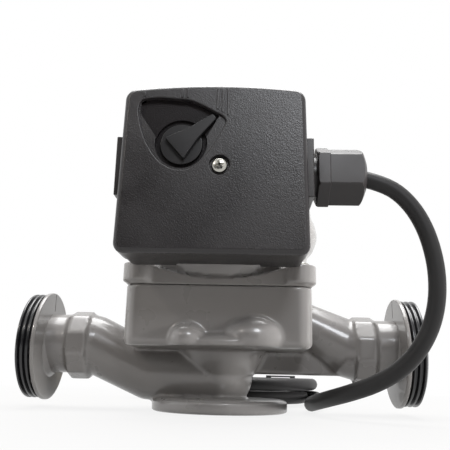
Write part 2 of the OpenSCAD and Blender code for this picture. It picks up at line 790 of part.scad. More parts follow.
module box_base() {
    side_x = pad_w / 2 + box_wall * 2;
    color("black") difference() {
        front_plate(joint_y, back_y) box_outline();
        difference() {
            front_plate(joint_y - overrun, back_y - box_wall) box_outline(box_wall);
            translate([-side_x - box_wall, cavity_y, box_z])
                cube([2 * (side_x + box_wall), -cavity_y, 2 * box_h]);
            rod_y(2 * pillar_r, cover_screw_x, cover_screw_z, joint_y, back_y);
        }
        translate([-side_x, pad_y, box_z - overrun]) cube([2 * side_x, -pad_y, 2 * box_h]);
        entry_cuts();
        rod_y(cover_screw_d, cover_screw_x, cover_screw_z, joint_y - overrun, cavity_y);
        for (z = box_screw_z) rod_y(box_screw_d, box_screw_x, z, joint_y, pad_y + overrun);
        rod_y(box_screw_d, earth_x, earth_z, joint_y, pad_y + overrun);
        rod_y(2 * grommet_r, grommet_x, grommet_z, joint_y, pad_y + overrun);
    }
}

module pan_screw(d, head_d, head_h, l) {
    slot = head_d * 0.16;
    difference() {
        union() {
            intersection() {
                cylinder(d = head_d, h = head_h, $fn = fine);
                translate([0, 0, head_h - head_d]) sphere(r = head_d, $fn = fine);
            }
            translate([0, 0, -l]) cylinder(d = d, h = l + head_h / 2, $fn = fine);
        }
        for (turn = [0, 90]) rotate([0, 0, turn]) translate([-head_d * 0.32, -slot / 2, head_h * 0.45])
            cube([head_d * 0.64, slot, head_h]);
    }
}

module facing_front(x, y, z) {
    translate([x, y, z]) rotate([90, 0, 0]) children();
}

module box_screws() {
    color("silver") for (z = box_screw_z) facing_front(box_screw_x, cavity_y, z)
        pan_screw(box_screw_d, box_screw_d * 1.8, box_screw_d * 0.6, box_wall + box_screw_d * 1.8);
}

module earth_screw() {
    color("limegreen") facing_front(earth_x, cavity_y, earth_z)
        pan_screw(box_screw_d, box_screw_d * 1.8, box_screw_d * 0.6, box_wall + box_screw_d * 1.8);
}

module lead_grommet() {
    lip = box_wall * 0.6;
    color("black") difference() {
        union() {
            rod_y(2 * grommet_r, grommet_x, grommet_z, cavity_y - lip, pad_y);
            rod_y(2 * grommet_r + 2 * lip, grommet_x, grommet_z, cavity_y - lip, cavity_y);
        }
        rod_y(grommet_r, grommet_x, grommet_z, cavity_y - 2 * lip, pad_y + overrun);
    }
}

// Winding leads, from the stator through the grommet and round to the underside of the switch
module motor_leads() {
    wire = grommet_r * 0.42;
    y_in = -stator_d / 2 - wire;
    y_out = cavity_y - wire;
    y_far = y_out - wire * 2.5;
    under = knob_z - switch_size[2] / 2 - grommet_z;
    color("firebrick") for (k = [-1, 1]) {
        low = under - wire * (1.85 + 0.65 * k);
        left = -wire * (5.15 + 0.65 * k);
        translate([grommet_x + k * wire * 0.56, 0, grommet_z])
            swept_tube([[0, y_in, 0], [0, y_in * 0.6 + y_out * 0.4, 0], [0, y_out, 0],
                [0, y_out - wire * 1.4, -wire * 0.5], [0, y_out - wire * 2.2, -wire * 1.5],
                [0, y_far, low + wire], [-wire * 0.3, y_far, low + wire * 0.3], [-wire, y_far, low],
                [left + wire, y_far, low], [left + wire * 0.3, y_far, low + wire * 0.3],
                [left, y_far, low + wire], [left, y_far, under]], wire, 8, [1, 0, 0]);
    }
}

module terminal_block() {
    cell = block_w / 3;
    color("ivory") difference() {
        translate([block_x - block_w / 2, cavity_y - block_t, block_z]) cube([block_w, block_t, block_h]);
        for (k = [-1 : 1]) {
            rod_y(cell * 0.5, block_x + k * cell, block_z + block_h / 2, cavity_y - block_t - overrun,
                cavity_y - block_t / 3);
            rod_wire(block_x + k * cell);
        }
        for (k = [-0.5, 0.5]) translate([block_x + k * cell - block_t / 20, cavity_y - block_t - overrun,
            block_z - overrun]) cube([block_t / 10, block_t / 3 + overrun, block_h + 2 * overrun]);
    }
}

module rod_wire(x) {
    translate([x, cavity_y - block_t / 3 - core_d / 2, block_z - overrun])
        cylinder(d = core_d, h = block_h + 2 * overrun, $fn = fine);
}

module terminal_screws() {
    cell = block_w / 3;
    head = cell * 0.49;
    color("silver") for (k = [-1 : 1])
        facing_front(block_x + k * cell, cavity_y - block_t / 3 - core_d, block_z + block_h / 2) difference() {
            cylinder(d = head, h = head * 0.5, $fn = fine);
            translate([-head, -head / 12, head * 0.3]) cube([2 * head, head / 6, head]);
        }
}

module capacitor() {
    color("goldenrod") translate([capacitor_x, cavity_y - capacitor_size[1], capacitor_z]) cube(capacitor_size);
}

module speed_switch() {
    color("darkslategray") difference() {
        union() {
            translate([knob_cx - switch_size[0] / 2, switch_y, knob_z - switch_size[2] / 2])
                cube([switch_size[0], cavity_y - switch_y, switch_size[2]]);
            rod_y(stem_d, knob_cx, knob_z, switch_y - box_wall / 3, switch_y + overrun);
        }
        rod_y(spindle_d + 2 * running_gap, knob_cx, knob_z, switch_y - box_wall, switch_y + box_wall * 2);
        rod_y(2 * grommet_r + 3 * box_wall, grommet_x, grommet_z,
            switch_y + switch_size[1] * 0.6, cavity_y + overrun);
    }
}

module switch_spindle() {
    color("ivory") rod_y(spindle_d, knob_cx, knob_z, well_y, switch_y + box_wall * 1.8);
}

module cover_gasket() {
    inner = box_wall - seal_w;
    color("dimgray") difference() {
        front_plate(joint_y - seal_t, joint_y) box_outline(inner);
        front_plate(joint_y - seal_t - overrun, joint_y + overrun) box_outline(box_wall);
        entry_cuts();
    }
}

// Outline of the window round the knob, as shares of the knob's reach from the knob's centre
window_shares = [[-0.96, 1.01], [-0.85, 1.07], [-0.52, 1.1], [-0.15, 1.07], [0.18, 1.035], [0.51, 0.895],
    [0.78, 0.74], [0.95, 0.64], [1.02, 0.51], [0.95, 0.35], [0.82, 0.1], [0.67, -0.16], [0.52, -0.38],
    [0.37, -0.52], [0.19, -0.64], [0.01, -0.66], [-0.16, -0.64], [-0.35, -0.55], [-0.54, -0.39],
    [-0.71, -0.15], [-0.86, 0.14], [-0.96, 0.48], [-1.01, 0.78]];
// The deep pocket that the pointer sweeps, in the same shares
pocket_shares = [[-0.96, 1], [-0.85, 1.05], [-0.52, 1.08], [-0.15, 1.05], [0.18, 1.02], [0.51, 0.88],
    [0.78, 0.725], [0.86, 0.67], [0.55, 0.1], [0.4, -0.3], [0, -0.52], [-0.4, -0.3], [-0.55, 0.1],
    [-0.97, 0.73]];

module window_cut(shares, depth) {
    front_plate(-face_y - overrun, -face_y + depth) translate([knob_cx, knob_z]) scale([pointer_l, pointer_l])
        polygon(shares);
}

// Plain marks beside the three positions of the pointer
mark_w = 1;
mark_depth = 0.4;
mark_inset = 2;
mark_drop = 1.6;
mark_top = box_top_z + box_arch - mark_inset;
// Sideways place and length of each mark, as shares of the pointer's reach
mark_shares = [[-0.877, 0.12], [0, 0.18], [0.124, 0.18], [0.82, 0.5], [0.933, 0.553], [1.06, 0.61]];

module mark_cuts() {
    for (m = mark_shares * pointer_l) {
        top = m[0] < -pointer_l / 2 ? mark_top - mark_drop : mark_top;
        front_plate(-face_y - overrun, -face_y + mark_depth)
            translate([knob_cx + m[0] - mark_w / 2, top - m[1]]) square([mark_w, m[1]]);
    }
}

module box_cover() {
    color("black") difference() {
        union() {
            difference() {
                hull() {
                    front_plate(-face_y, -face_y + cover_edge / 8) box_outline(cover_edge);
                    front_plate(-face_y + cover_edge * 0.28, -face_y + cover_edge * 0.4) box_outline(cover_edge * 0.3);
                    front_plate(-face_y + cover_edge, joint_y) box_outline();
                }
                front_plate(-face_y + box_wall, joint_y + overrun) box_outline(box_wall);
            }
            rod_y(2 * (well_r + box_wall), knob_cx, knob_z, -face_y + box_wall / 2, well_y + box_wall);
            intersection() {
                front_plate(-face_y + box_wall / 2, -face_y + pocket_depth + box_wall) translate([knob_cx, knob_z])
                    scale([pointer_l * 1.12, pointer_l * 1.12]) polygon(window_shares);
                front_plate(-face_y, joint_y) box_outline(box_wall / 2);
            }
            rod_y(2 * pillar_r, cover_screw_x, cover_screw_z, -face_y + box_wall / 2, joint_y);
        }
        window_cut(window_shares, pocket_depth * 0.4);
        window_cut(pocket_shares, pocket_depth);
        rod_y(2 * well_r, knob_cx, knob_z, -face_y - overrun, well_y);
        rod_y(stem_d + 2 * running_gap, knob_cx, knob_z, -face_y, well_y + box_wall + overrun);
        rod_y(cover_recess_d, cover_screw_x, cover_screw_z, -face_y - overrun, -face_y + cover_recess_d * 0.2);
        rod_y(cover_screw_d, cover_screw_x, cover_screw_z, -face_y, joint_y + overrun);
        mark_cuts();
        entry_cuts();
        front_plate(joint_y - seal_t, joint_y + overrun) box_outline(box_wall - seal_w);
    }
}

module cover_screw() {
    seat = -face_y + cover_recess_d * 0.2;
    color("silver") facing_front(cover_screw_x, seat, cover_screw_z)
        pan_screw(cover_screw_d, cover_head_d, cover_head_d * 0.34, cavity_y - seat - box_wall);
}

// Kite-shaped pointer, as shares of its reach: tip, waist and tail
pointer_shares = [[1, 0], [0.34, 0.17], [-0.18, 0.38], [-0.2, 0], [-0.18, -0.38], [0.34, -0.17]];

module speed_knob() {
    pointer_t = 1.5;
    color("black") difference() {
        union() {
            rod_y(knob_d, knob_cx, knob_z, knob_front_y + pointer_t, knob_disc_y);
            rod_y(stem_d, knob_cx, knob_z, knob_disc_y - overrun, well_y + box_wall);
            front_plate(knob_front_y, knob_front_y + pointer_t + running_gap) translate([knob_cx, knob_z])
                rotate(pointer_angle) scale([pointer_l, pointer_l]) polygon(pointer_shares);
        }
        rod_y(spindle_d, knob_cx, knob_z, well_y, well_y + box_wall + overrun);
    }
}

module blanking_plate() {
    color("black") translate([box_x, entry_y, entry_z]) mirror([1, 0, 0]) entry_form();
}

module gland_plate() {
    color("black") difference() {
        translate([box_x, entry_y, entry_z]) entry_form();
        rod_x(gland_thread_d, 0, port_span, entry_y, entry_z);
    }
}

module gland_body() {
    color("black") difference() {
        union() {
            rod_x(nut_af * 0.86, entry_face_x, nut_x, entry_y, entry_z);
            rod_x(gland_thread_d, entry_face_x - entry_t - locknut_t - overrun, lead_x, entry_y, entry_z);
        }
        rod_x(lead_d, entry_face_x - entry_t - locknut_t - 2 * overrun, seal_x + overrun, entry_y, entry_z);
        rod_x(2 * seal_r, seal_x, lead_x + overrun, entry_y, entry_z);
    }
}

module gland_locknut() {
    back = entry_face_x - entry_t;
    color("black") difference() {
        translate([back - locknut_t, entry_y, entry_z]) rotate([nut_turn, 0, 0]) rotate([0, 90, 0])
            cylinder(r = nut_r * 0.92, h = locknut_t, $fn = 6);
        rod_x(gland_thread_d, back - locknut_t - overrun, back + overrun, entry_y, entry_z);
    }
}

module gland_seal() {
    color("dimgray") difference() {
        rod_x(2 * seal_r, seal_x, lead_x, entry_y, entry_z);
        rod_x(lead_d, seal_x - overrun, lead_x + overrun, entry_y, entry_z);
    }
}

module gland_nut() {
    bell_d = lead_d * 1.75;
    bell_wall = 1;
    color("black") difference() {
        union() {
            translate([nut_x, entry_y, entry_z]) rotate([nut_turn, 0, 0]) rotate([0, 90, 0])
                cylinder(r = nut_r, h = nut_l, $fn = 6);
            translate([nut_end_x, entry_y, entry_z]) rotate([0, 90, 0])
                cylinder(d1 = nut_af, d2 = nut_af * 0.84, h = dome_l / 2, $fn = fine);
            translate([nut_end_x + dome_l / 2, entry_y, entry_z]) rotate([0, 90, 0])
                cylinder(d1 = nut_af * 0.84, d2 = bell_d + 2 * bell_wall, h = dome_l / 2, $fn = fine);
        }
        rod_x(gland_thread_d, nut_x - overrun, lead_x, entry_y, entry_z);
        rod_x(bell_d, lead_x - overrun, dome_x + overrun, entry_y, entry_z);
    }
}

module lead_end() {
    color("black") rod_x(lead_d, tail_x, lead_x, entry_y, entry_z);
}

// The three cores, from the end of the sheath down to the terminal block
module lead_cores() {
    cell = block_w / 3;
    top = block_z + block_h;
    y_wire = cavity_y - block_t / 3 - core_d / 2;
    color("saddlebrown") for (k = [-1 : 1]) {
        x_wire = block_x + k * cell;
        start = [tail_x, entry_y + k * core_d * 1.05, entry_z];
        swept_tube([start, start - [core_d, 0, 0], [(start[0] * 3 + x_wire) / 4, start[1], start[2] - core_d / 2],
            [(start[0] + x_wire) / 2, (start[1] * 2 + y_wire) / 3, start[2] * 0.6 + top * 0.4],
            [(start[0] + x_wire * 4) / 5, (start[1] + y_wire * 3) / 4, start[2] * 0.3 + top * 0.7],
            [x_wire, y_wire, start[2] * 0.1 + top * 0.9],
            [x_wire, y_wire, top], [x_wire, y_wire, top - block_h * 0.6]], core_d, 8, [0, 1, 0]);
    }
}

module mains_lead() {
    color("black") swept_tube(route, lead_d, 10, [0, 0, 1]);
}

// Centre line of the coil. Turns go inwards on the floor, climb where the spiral turns back, and go out above
coil_n = floor(2 * coil_turns * coil_rings);
function climb_share(t) = max(0, min(1, (t - coil_turns) / climb_turns + 0.5));
function coil_point(i) = let (t = 2 * coil_turns * i / coil_n, r = coil_r - coil_step * min(t, 2 * coil_turns - t),
    rise = (1 - cos(180 * climb_share(t))) / 2)
    [coil_x + r * cos(360 * t), coil_y + r * sin(360 * t), coil_z + coil_step * rise];
coil_path = [for (i = [0 : coil_n]) coil_point(i)];
function seg_len(p) = [for (i = [1 : len(p) - 1]) norm(p[i] - p[i - 1])];
function sum(v, i = 0) = i >= len(v) ? 0 : v[i] + sum(v, i + 1);
apart = ceil(coil_rings * 0.5);
coil_gap = min([for (i = [0 : coil_n - apart], j = [i + apart : coil_n]) norm(coil_path[i] - coil_path[j])]) - lead_d;
echo(coil_gap = coil_gap, coil_length = sum(seg_len(coil_path)), free_length = sum(seg_len(route)));

module lead_coil() {
    end = coil_path[coil_n];
    start = coil_path[0] - [0, lead_r, 0];
    color("black") swept_tube(concat([start], coil_path, [[relief_x, end[1], end[2]]]), lead_d, coil_sides, [0, 0, 1]);
}

plug_y = coil_y + coil_r;
relief_x = coil_x - lead_d;
plug_x = relief_x - relief_l;

// Two cable ties that hold the turns together, where both layers lie over each other
module coil_ties() {
    part_turn = coil_turns - floor(coil_turns);
    height = coil_step + lead_d + 2 * tie_gap;
    color("black") for (k = [0, 1]) {
        turn_out = part_turn + k / 2;
        near = coil_r - (coil_turns - k / 2) * coil_step - lead_r - tie_gap;
        far = coil_r - turn_out * coil_step + lead_r + tie_gap;
        translate([coil_x, coil_y, 0]) rotate([0, 0, 360 * turn_out]) difference() {
            translate([near - tie_t, -tie_w / 2, 0]) cube([far - near + 2 * tie_t, tie_w, height + 2 * tie_t]);
            translate([near, -tie_w, tie_t]) cube([far - near, 2 * tie_w, height]);
        }
    }
}

module plug_body() {
    half = plug_t / 2;
    color("black") {
        translate([plug_x - plug_l, plug_y, coil_top_z]) rotate([0, 90, 0]) linear_extrude(plug_l * 0.6)
            plug_face(plug_t, plug_w);
        hull() {
            translate([plug_x - plug_l * 0.42, plug_y, coil_top_z]) rotate([0, 90, 0])
                linear_extrude(plug_l * 0.04) plug_face(plug_t, plug_w);
            translate([plug_x - relief_wall, plug_y, coil_top_z]) rotate([0, 90, 0])
                cylinder(d = lead_d + 6 * relief_wall, h = relief_wall, $fn = hull_fine);
        }
        translate([plug_x - relief_wall, plug_y, coil_top_z]) rotate([0, 90, 0])
            cylinder(d1 = lead_d + 5 * relief_wall, d2 = lead_d + 2 * relief_wall, h = relief_l + relief_wall, $fn = fine);
    }
}

module plug_face(t, w) {
    r = t * 0.3;
    square([t - 2 * r, w], center = true);
    square([t, w - 2 * r], center = true);
    for (x = [-1, 1], y = [-1, 1]) translate([x * (t / 2 - r), y * (w / 2 - r)]) circle(r = r, $fn = fine);
}

module plug_pins() {
    face_x = plug_x - plug_l;
    color("silver") for (p = [[-1, 30], [1, -30], [0, 90]])
        translate([face_x - pin_l, plug_y + p[0] * pin_spread / 2, coil_top_z - (p[0] == 0 ? pin_w * 0.45 : -pin_w * 0.4)])
            rotate([p[1], 0, 0]) translate([0, -pin_t / 2, -pin_w / 2]) cube([pin_l, pin_t, pin_w]);
}

pump_housing();
wear_ring();
impeller();
bearing_plate();
front_bearing();
thrust_ring();
rotor_shaft();
rotor_core();
rear_bearing();
rotor_can();
housing_gasket();
stator_core();
stator_windings();
motor_housing();
flange_screws();
can_seal();
vent_screw();
nameplate();
box_base();
box_screws();
earth_screw();
lead_grommet();
motor_leads();
terminal_block();
terminal_screws();
capacitor();
speed_switch();
switch_spindle();
cover_gasket();
box_cover();
cover_screw();
speed_knob();
blanking_plate();
gland_plate();
gland_body();
gland_locknut();
gland_seal();
gland_nut();
lead_end();
lead_cores();
mains_lead();
lead_coil();
coil_ties();
plug_body();
plug_pins();
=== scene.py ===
# %% [markdown]
# # A wet-rotor circulation pump
# The pump has a grey cast housing with two threaded ports, a grey motor housing above it, and a black
# terminal box with a speed knob, a screw and a cable gland. The solids come from the imported CAD model. This
# lesson gives them their finish and replaces the ones whose cast or moulded shape needs softer forms than a
# CAD solid has. The imported model is loaded first.

# %% Load the imported model
import json
import math

import bmesh
import bpy
from mathutils import Matrix, Vector


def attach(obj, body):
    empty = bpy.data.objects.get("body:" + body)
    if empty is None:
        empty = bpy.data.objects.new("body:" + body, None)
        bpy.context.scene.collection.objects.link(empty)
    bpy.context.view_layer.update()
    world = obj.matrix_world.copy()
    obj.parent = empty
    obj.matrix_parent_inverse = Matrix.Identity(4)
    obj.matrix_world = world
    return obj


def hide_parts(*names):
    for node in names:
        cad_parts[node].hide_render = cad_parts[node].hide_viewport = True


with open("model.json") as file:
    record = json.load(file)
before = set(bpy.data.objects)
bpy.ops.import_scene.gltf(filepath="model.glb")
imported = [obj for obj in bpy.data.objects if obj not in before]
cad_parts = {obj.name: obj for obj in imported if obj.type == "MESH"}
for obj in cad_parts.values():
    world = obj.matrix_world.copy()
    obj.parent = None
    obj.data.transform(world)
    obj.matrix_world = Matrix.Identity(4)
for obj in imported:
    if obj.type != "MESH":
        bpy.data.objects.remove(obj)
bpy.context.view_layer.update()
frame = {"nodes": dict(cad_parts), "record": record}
nodes = frame["nodes"]
mm = 0.001

# %% [markdown]
# ## The camera
# The photograph was taken from the table's height, a little left of straight on and tilted upwards. Its place
# and turn were worked out from the rims of the ports, the corners of the box and the edges of the housing. A
# camera can be aimed with a constraint, but three direction vectors say exactly how it is turned, so they are
# used here. The focal length was found in pixels of the photograph, and the sensor's width turns it into
# millimetres.

# %% Camera
bpy.ops.object.camera_add()
camera = bpy.context.object
camera.name = "camera"
eye = Vector((12.84, -286.18, 16.37)) * mm
right = Vector((0.99903, 0.03728, 0.02356)).normalized()
ahead = Vector((-0.04191, 0.96895, 0.24367))
ahead = (ahead - right * ahead.dot(right)).normalized()
above = right.cross(ahead)
camera.matrix_world = Matrix((
    (right.x, above.x, -ahead.x, eye.x), (right.y, above.y, -ahead.y, eye.y),
    (right.z, above.z, -ahead.z, eye.z), (0, 0, 0, 1)))
photo_width, focal_length, sensor = 450, 596.1, 36
camera.data.sensor_width = sensor
camera.data.lens = focal_length / photo_width * sensor
camera.data.clip_start = 0.01
bpy.context.scene.camera = camera
print("lens", round(camera.data.lens, 2), "mm")

# %% [markdown]
# ## The mains lead
# The lead is 6.8 mm thick and stiff. It leaves the gland level, bends over and hangs down beside the right
# port, and passes under the neck to the back, where the rest of it lies in a coil with its moulded plug. A
# lead is one line with a thickness, so a curve with a round bevel is the shortest way to make it. The
# listed points are joined by a smooth curve through all of them, and the coil's points come from its own
# formula. Blender counts a point's radius in a curve's box, so the thickness is given there, on a bevel one
# metre deep.

# %% Route of the lead
lead_d = 6.8
lead_r = lead_d / 2
entry = (-54.0, 95.4)
lead_x = 49.956
coil_centre = (8.0, 88.0)
coil_turns = 2.125
coil_step = lead_d + 0.5
coil_outer = lead_d * 5.5 + coil_turns * coil_step / 2
coil_z = lead_r + 1.3
plug_side = coil_centre[0] - lead_d
start_x = coil_centre[0] + coil_outer
free_points = [
    (lead_x, *entry), (lead_x + lead_r / 2, *entry), (60, -54, 94.4), (70, -54, 90.5), (77, -54, 83.8),
    (81.8, -54, 75), (84.6, -54, 65), (85.6, -54, 55), (84.9, -53.6, 45), (82.3, -52.6, 35.5),
    (77.4, -51, 26.6), (70.6, -48.2, 19.4), (62.4, -43.4, 14.2), (54.2, -36, 10.6), (47.8, -26, 8),
    (43.8, -14, 6), (42.6, -1, 4.6), (43.2, 12, 3.8), (45.4, 26, lead_r), (48.4, 42, lead_r),
    (51.2, 58, lead_r), (52.8, 71, 4), (start_x, coil_centre[1] - 2 * lead_r, coil_z),
    (start_x, coil_centre[1] - lead_r, coil_z)]


def coil_point(turn):
    inward = min(turn, 2 * coil_turns - turn)
    radius = coil_outer - coil_step * inward
    climb = max(0.0, min(1.0, (turn - coil_turns) / 0.5 + 0.5))
    angle = 2 * math.pi * turn
    return Vector((coil_centre[0] + radius * math.cos(angle), coil_centre[1] + radius * math.sin(angle),
                   coil_z + coil_step * (1 - math.cos(math.pi * climb)) / 2))


def on_curve(a, b, c, d, t):
    """The point at share t between b and c, on the smooth curve through all four."""
    return 0.5 * ((2 * b) + (c - a) * t + (2 * a - 5 * b + 4 * c - d) * t * t
                  + (3 * b - a - 3 * c + d) * t ** 3)


def smooth_through(points, steps):
    points = [Vector(p) for p in points]
    last = len(points) - 1
    line = []
    for i in range(last):
        four = [points[max(0, min(last, i + k))] for k in (-1, 0, 1, 2)]
        line += [on_curve(*four, k / steps) for k in range(steps)]
    return line + [points[last]]


coil_count = 102
lead_line = smooth_through(free_points, 4)
lead_line += [coil_point(2 * coil_turns * i / coil_count) for i in range(coil_count + 1)]
lead_end = coil_point(2 * coil_turns)
lead_line.append(Vector((plug_side, lead_end.y, lead_end.z)))

# %% Lead as a curve
lead_fit = 0.995  # a hair thinner than the CAD's lead, so that it stays inside the CAD's box
lead_curve = bpy.data.curves.new("mains_cable", "CURVE")
lead_curve.dimensions = "3D"
lead_curve.bevel_depth = 1.0
lead_curve.bevel_resolution = 5
lead_curve.use_fill_caps = True
spline = lead_curve.splines.new("POLY")
spline.points.add(len(lead_line) - 1)
for point, place in zip(spline.points, lead_line):
    point.co = (*(place * mm), 1)
    point.radius = lead_r * mm * lead_fit
cable = bpy.data.objects.new("mains_cable", lead_curve)
bpy.context.scene.collection.objects.link(cable)
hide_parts("mains_lead", "lead_coil")
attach(cable, "pump")

# %% [markdown]
# ## Tools for the shapes
# Every new piece starts from a primitive at its real size and place. Edit mode then selects faces, edges or
# points by where they are, and an operator shapes them. These few helpers keep the selection clean, since an
# operator acts on all that is selected, and set a finished piece down with its object at the origin.

# %% Selection and placing
def deselect():
    if bpy.context.object and bpy.context.object.mode != "OBJECT":
        bpy.ops.object.mode_set(mode="OBJECT")
    bpy.ops.object.select_all(action="DESELECT")


def take(*objects):
    deselect()
    for o in objects:
        o.select_set(True)
    bpy.context.view_layer.objects.active = objects[-1]
    return objects[-1]


def set_down(o):
    take(o)
    bpy.ops.object.transform_apply(location=True, rotation=True, scale=True)
    return o


def block(name, low, high):
    deselect()
    centre = [(a + b) / 2 * mm for a, b in zip(low, high)]
    bpy.ops.mesh.primitive_cube_add(size=1, location=centre)
    o = bpy.context.object
    o.name = name
    o.scale = [(b - a) * mm for a, b in zip(low, high)]
    return set_down(o)


def ball(name, centre, *radii):
    """A ball from one radius, or an egg from three."""
    deselect()
    bpy.ops.mesh.primitive_uv_sphere_add(segments=48, ring_count=24, radius=mm,
                                         location=[c * mm for c in centre])
    o = bpy.context.object
    o.name = name
    o.scale = radii if len(radii) == 3 else radii * 3
    return set_down(o)


def rod(name, start, end, r0, r1=None, sides=64):
    a, b = Vector(start), Vector(end)
    deselect()
    bpy.ops.mesh.primitive_cone_add(vertices=sides, radius1=r0 * mm, radius2=(r0 if r1 is None else r1) * mm,
                                    depth=(b - a).length * mm, location=(a + b) / 2 * mm)
    o = bpy.context.object
    o.name = name
    o.rotation_euler = (b - a).to_track_quat("Z", "Y").to_euler()
    return set_down(o)


def pick(o, kind, test):
    take(o)
    bpy.ops.object.mode_set(mode="EDIT")
    bpy.ops.mesh.select_mode(type=kind)
    bpy.ops.mesh.select_all(action="DESELECT")
    shape = bmesh.from_edit_mesh(o.data)
    found = 0
    for part in {"VERT": shape.verts, "EDGE": shape.edges, "FACE": shape.faces}[kind]:
        if test(part):
            part.select_set(True)
            found += 1
    shape.select_flush_mode()
    bmesh.update_edit_mesh(o.data)
    return found


def middle(part):
    return sum((v.co for v in part.verts), Vector()) / len(part.verts) / mm


def runs_along(edge, axis, least):
    """Whether an edge reaches over more than so many millimetres along an axis, 0 to 2 for X to Z."""
    return abs(edge.verts[0].co[axis] - edge.verts[1].co[axis]) > least * mm


def modify(o, kind, **settings):
    take(o)
    modifier = o.modifiers.new(kind.lower(), kind)
    for key, value in settings.items():
        setattr(modifier, key, value)
    bpy.ops.object.modifier_apply(modifier=modifier.name)
    return o


def cut(o, *cutters):
    for cutter in cutters:
        modify(o, "BOOLEAN", operation="DIFFERENCE", object=cutter, solver="EXACT")
        bpy.data.objects.remove(cutter)
    return o


def add(o, *others):
    for other in others:
        modify(o, "BOOLEAN", operation="UNION", object=other, solver="EXACT")
        bpy.data.objects.remove(other)
    return o


def bevel(o, kind, test, width, segments):
    count = pick(o, kind, test)
    if count:
        bpy.ops.mesh.bevel(offset=width * mm, segments=segments)
    bpy.ops.object.mode_set(mode="OBJECT")
    return count


def soften(o, width, test=lambda p: True, segments=3, outer=False):
    """Rounds the sharp edges whose middle, in millimetres, passes the test; outer leaves the hollow ones."""
    def sharp(e):
        return e.calc_face_angle(0) > math.radians(35) and test(middle(e)) and (e.is_convex or not outer)
    return bevel(o, "EDGE", sharp, width, segments)


def smooth(o, angle=35):
    take(o)
    bpy.ops.object.shade_smooth_by_angle(angle=math.radians(angle))
    return modify(o, "WEIGHTED_NORMAL", keep_sharp=True)


def cast(name, voxel, passes, *parts):
    take(*parts)
    bpy.ops.object.join()
    o = bpy.context.object
    o.name = name
    modify(o, "REMESH", mode="VOXEL", voxel_size=voxel * mm)
    modify(o, "SMOOTH", factor=0.5, iterations=passes)
    take(o)
    bpy.ops.object.shade_smooth()
    return o


def turned(name, profile, axis_point, direction, sides=96):
    """A closed profile of (distance along, radius) points, spun round an axis along X, Y or Z."""
    deselect()
    bpy.ops.mesh.primitive_circle_add(vertices=len(profile), radius=mm, fill_type="NGON")
    o = bpy.context.object
    o.name = name
    along, out = {"X": (Vector((1, 0, 0)), Vector((0, 0, 1))), "Y": (Vector((0, 1, 0)), Vector((0, 0, 1))),
                  "Z": (Vector((0, 0, 1)), Vector((1, 0, 0)))}[direction]
    base = Vector(axis_point)
    for vertex, (a, r) in zip(o.data.vertices, profile):
        vertex.co = (base + along * a + out * r) * mm
    take(o)
    bpy.ops.object.mode_set(mode="EDIT")
    bpy.ops.mesh.select_all(action="SELECT")
    bpy.ops.mesh.delete(type="ONLY_FACE")
    bpy.ops.mesh.select_all(action="SELECT")
    bpy.ops.mesh.spin(steps=sides, angle=2 * math.pi, center=base * mm, axis=along, use_auto_merge=True)
    bpy.ops.mesh.select_all(action="SELECT")
    bpy.ops.mesh.remove_doubles(threshold=0.002 * mm)
    bpy.ops.mesh.normals_make_consistent(inside=False)
    bpy.ops.object.mode_set(mode="OBJECT")
    return o


def flat_form(name, outline, y0, y1):
    """A flat outline of (x, z) points, drawn out from one depth to another."""
    deselect()
    bpy.ops.mesh.primitive_circle_add(vertices=len(outline), radius=mm, fill_type="NGON")
    o = bpy.context.object
    o.name = name
    for vertex, (x, z) in zip(o.data.vertices, outline):
        vertex.co = (x * mm, y0 * mm, z * mm)
    take(o)
    bpy.ops.object.mode_set(mode="EDIT")
    bpy.ops.mesh.select_all(action="SELECT")
    bpy.ops.mesh.extrude_region_move(TRANSFORM_OT_translate={"value": (0, (y1 - y0) * mm, 0)})
    bpy.ops.mesh.select_all(action="SELECT")
    bpy.ops.mesh.normals_make_consistent(inside=False)
    bpy.ops.object.mode_set(mode="OBJECT")
    return o


def finish_piece(o, body, slot, *replaced):
    if replaced:
        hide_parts(*replaced)
    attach(o, body)
    o.data.calc_loop_triangles()
    print(o.name, len(o.data.loop_triangles), "triangles")
    return o


# %% [markdown]
# ## The cast housing
# The housing is one iron casting: a square body with the impeller's swelling on its front and back, a channel
# that dips from the left neck under the body, a short channel to the right neck, and a web between them. Cast
# iron has no sharp inner corners. A bevel can't round the places where so many round forms meet, so simple
# forms are pushed into each other, a voxel remesh makes one skin of them, and smoothing melts the joins into
# fillets as the sand mould does.

# %% Square body
wall, body_foot, joint_z = 39.35, 27.3, 52.7
joint_gap = 0.02  # leaves the joint between the two castings open by a hair
body = block("housing_body", (-wall, -wall, body_foot), (wall, wall, joint_z - joint_gap))
bevel(body, "EDGE", lambda e: runs_along(e, 2, 10), 5.85, 8)
bevel(body, "FACE", lambda f: middle(f).z < body_foot + 0.2, 2.4, 4)

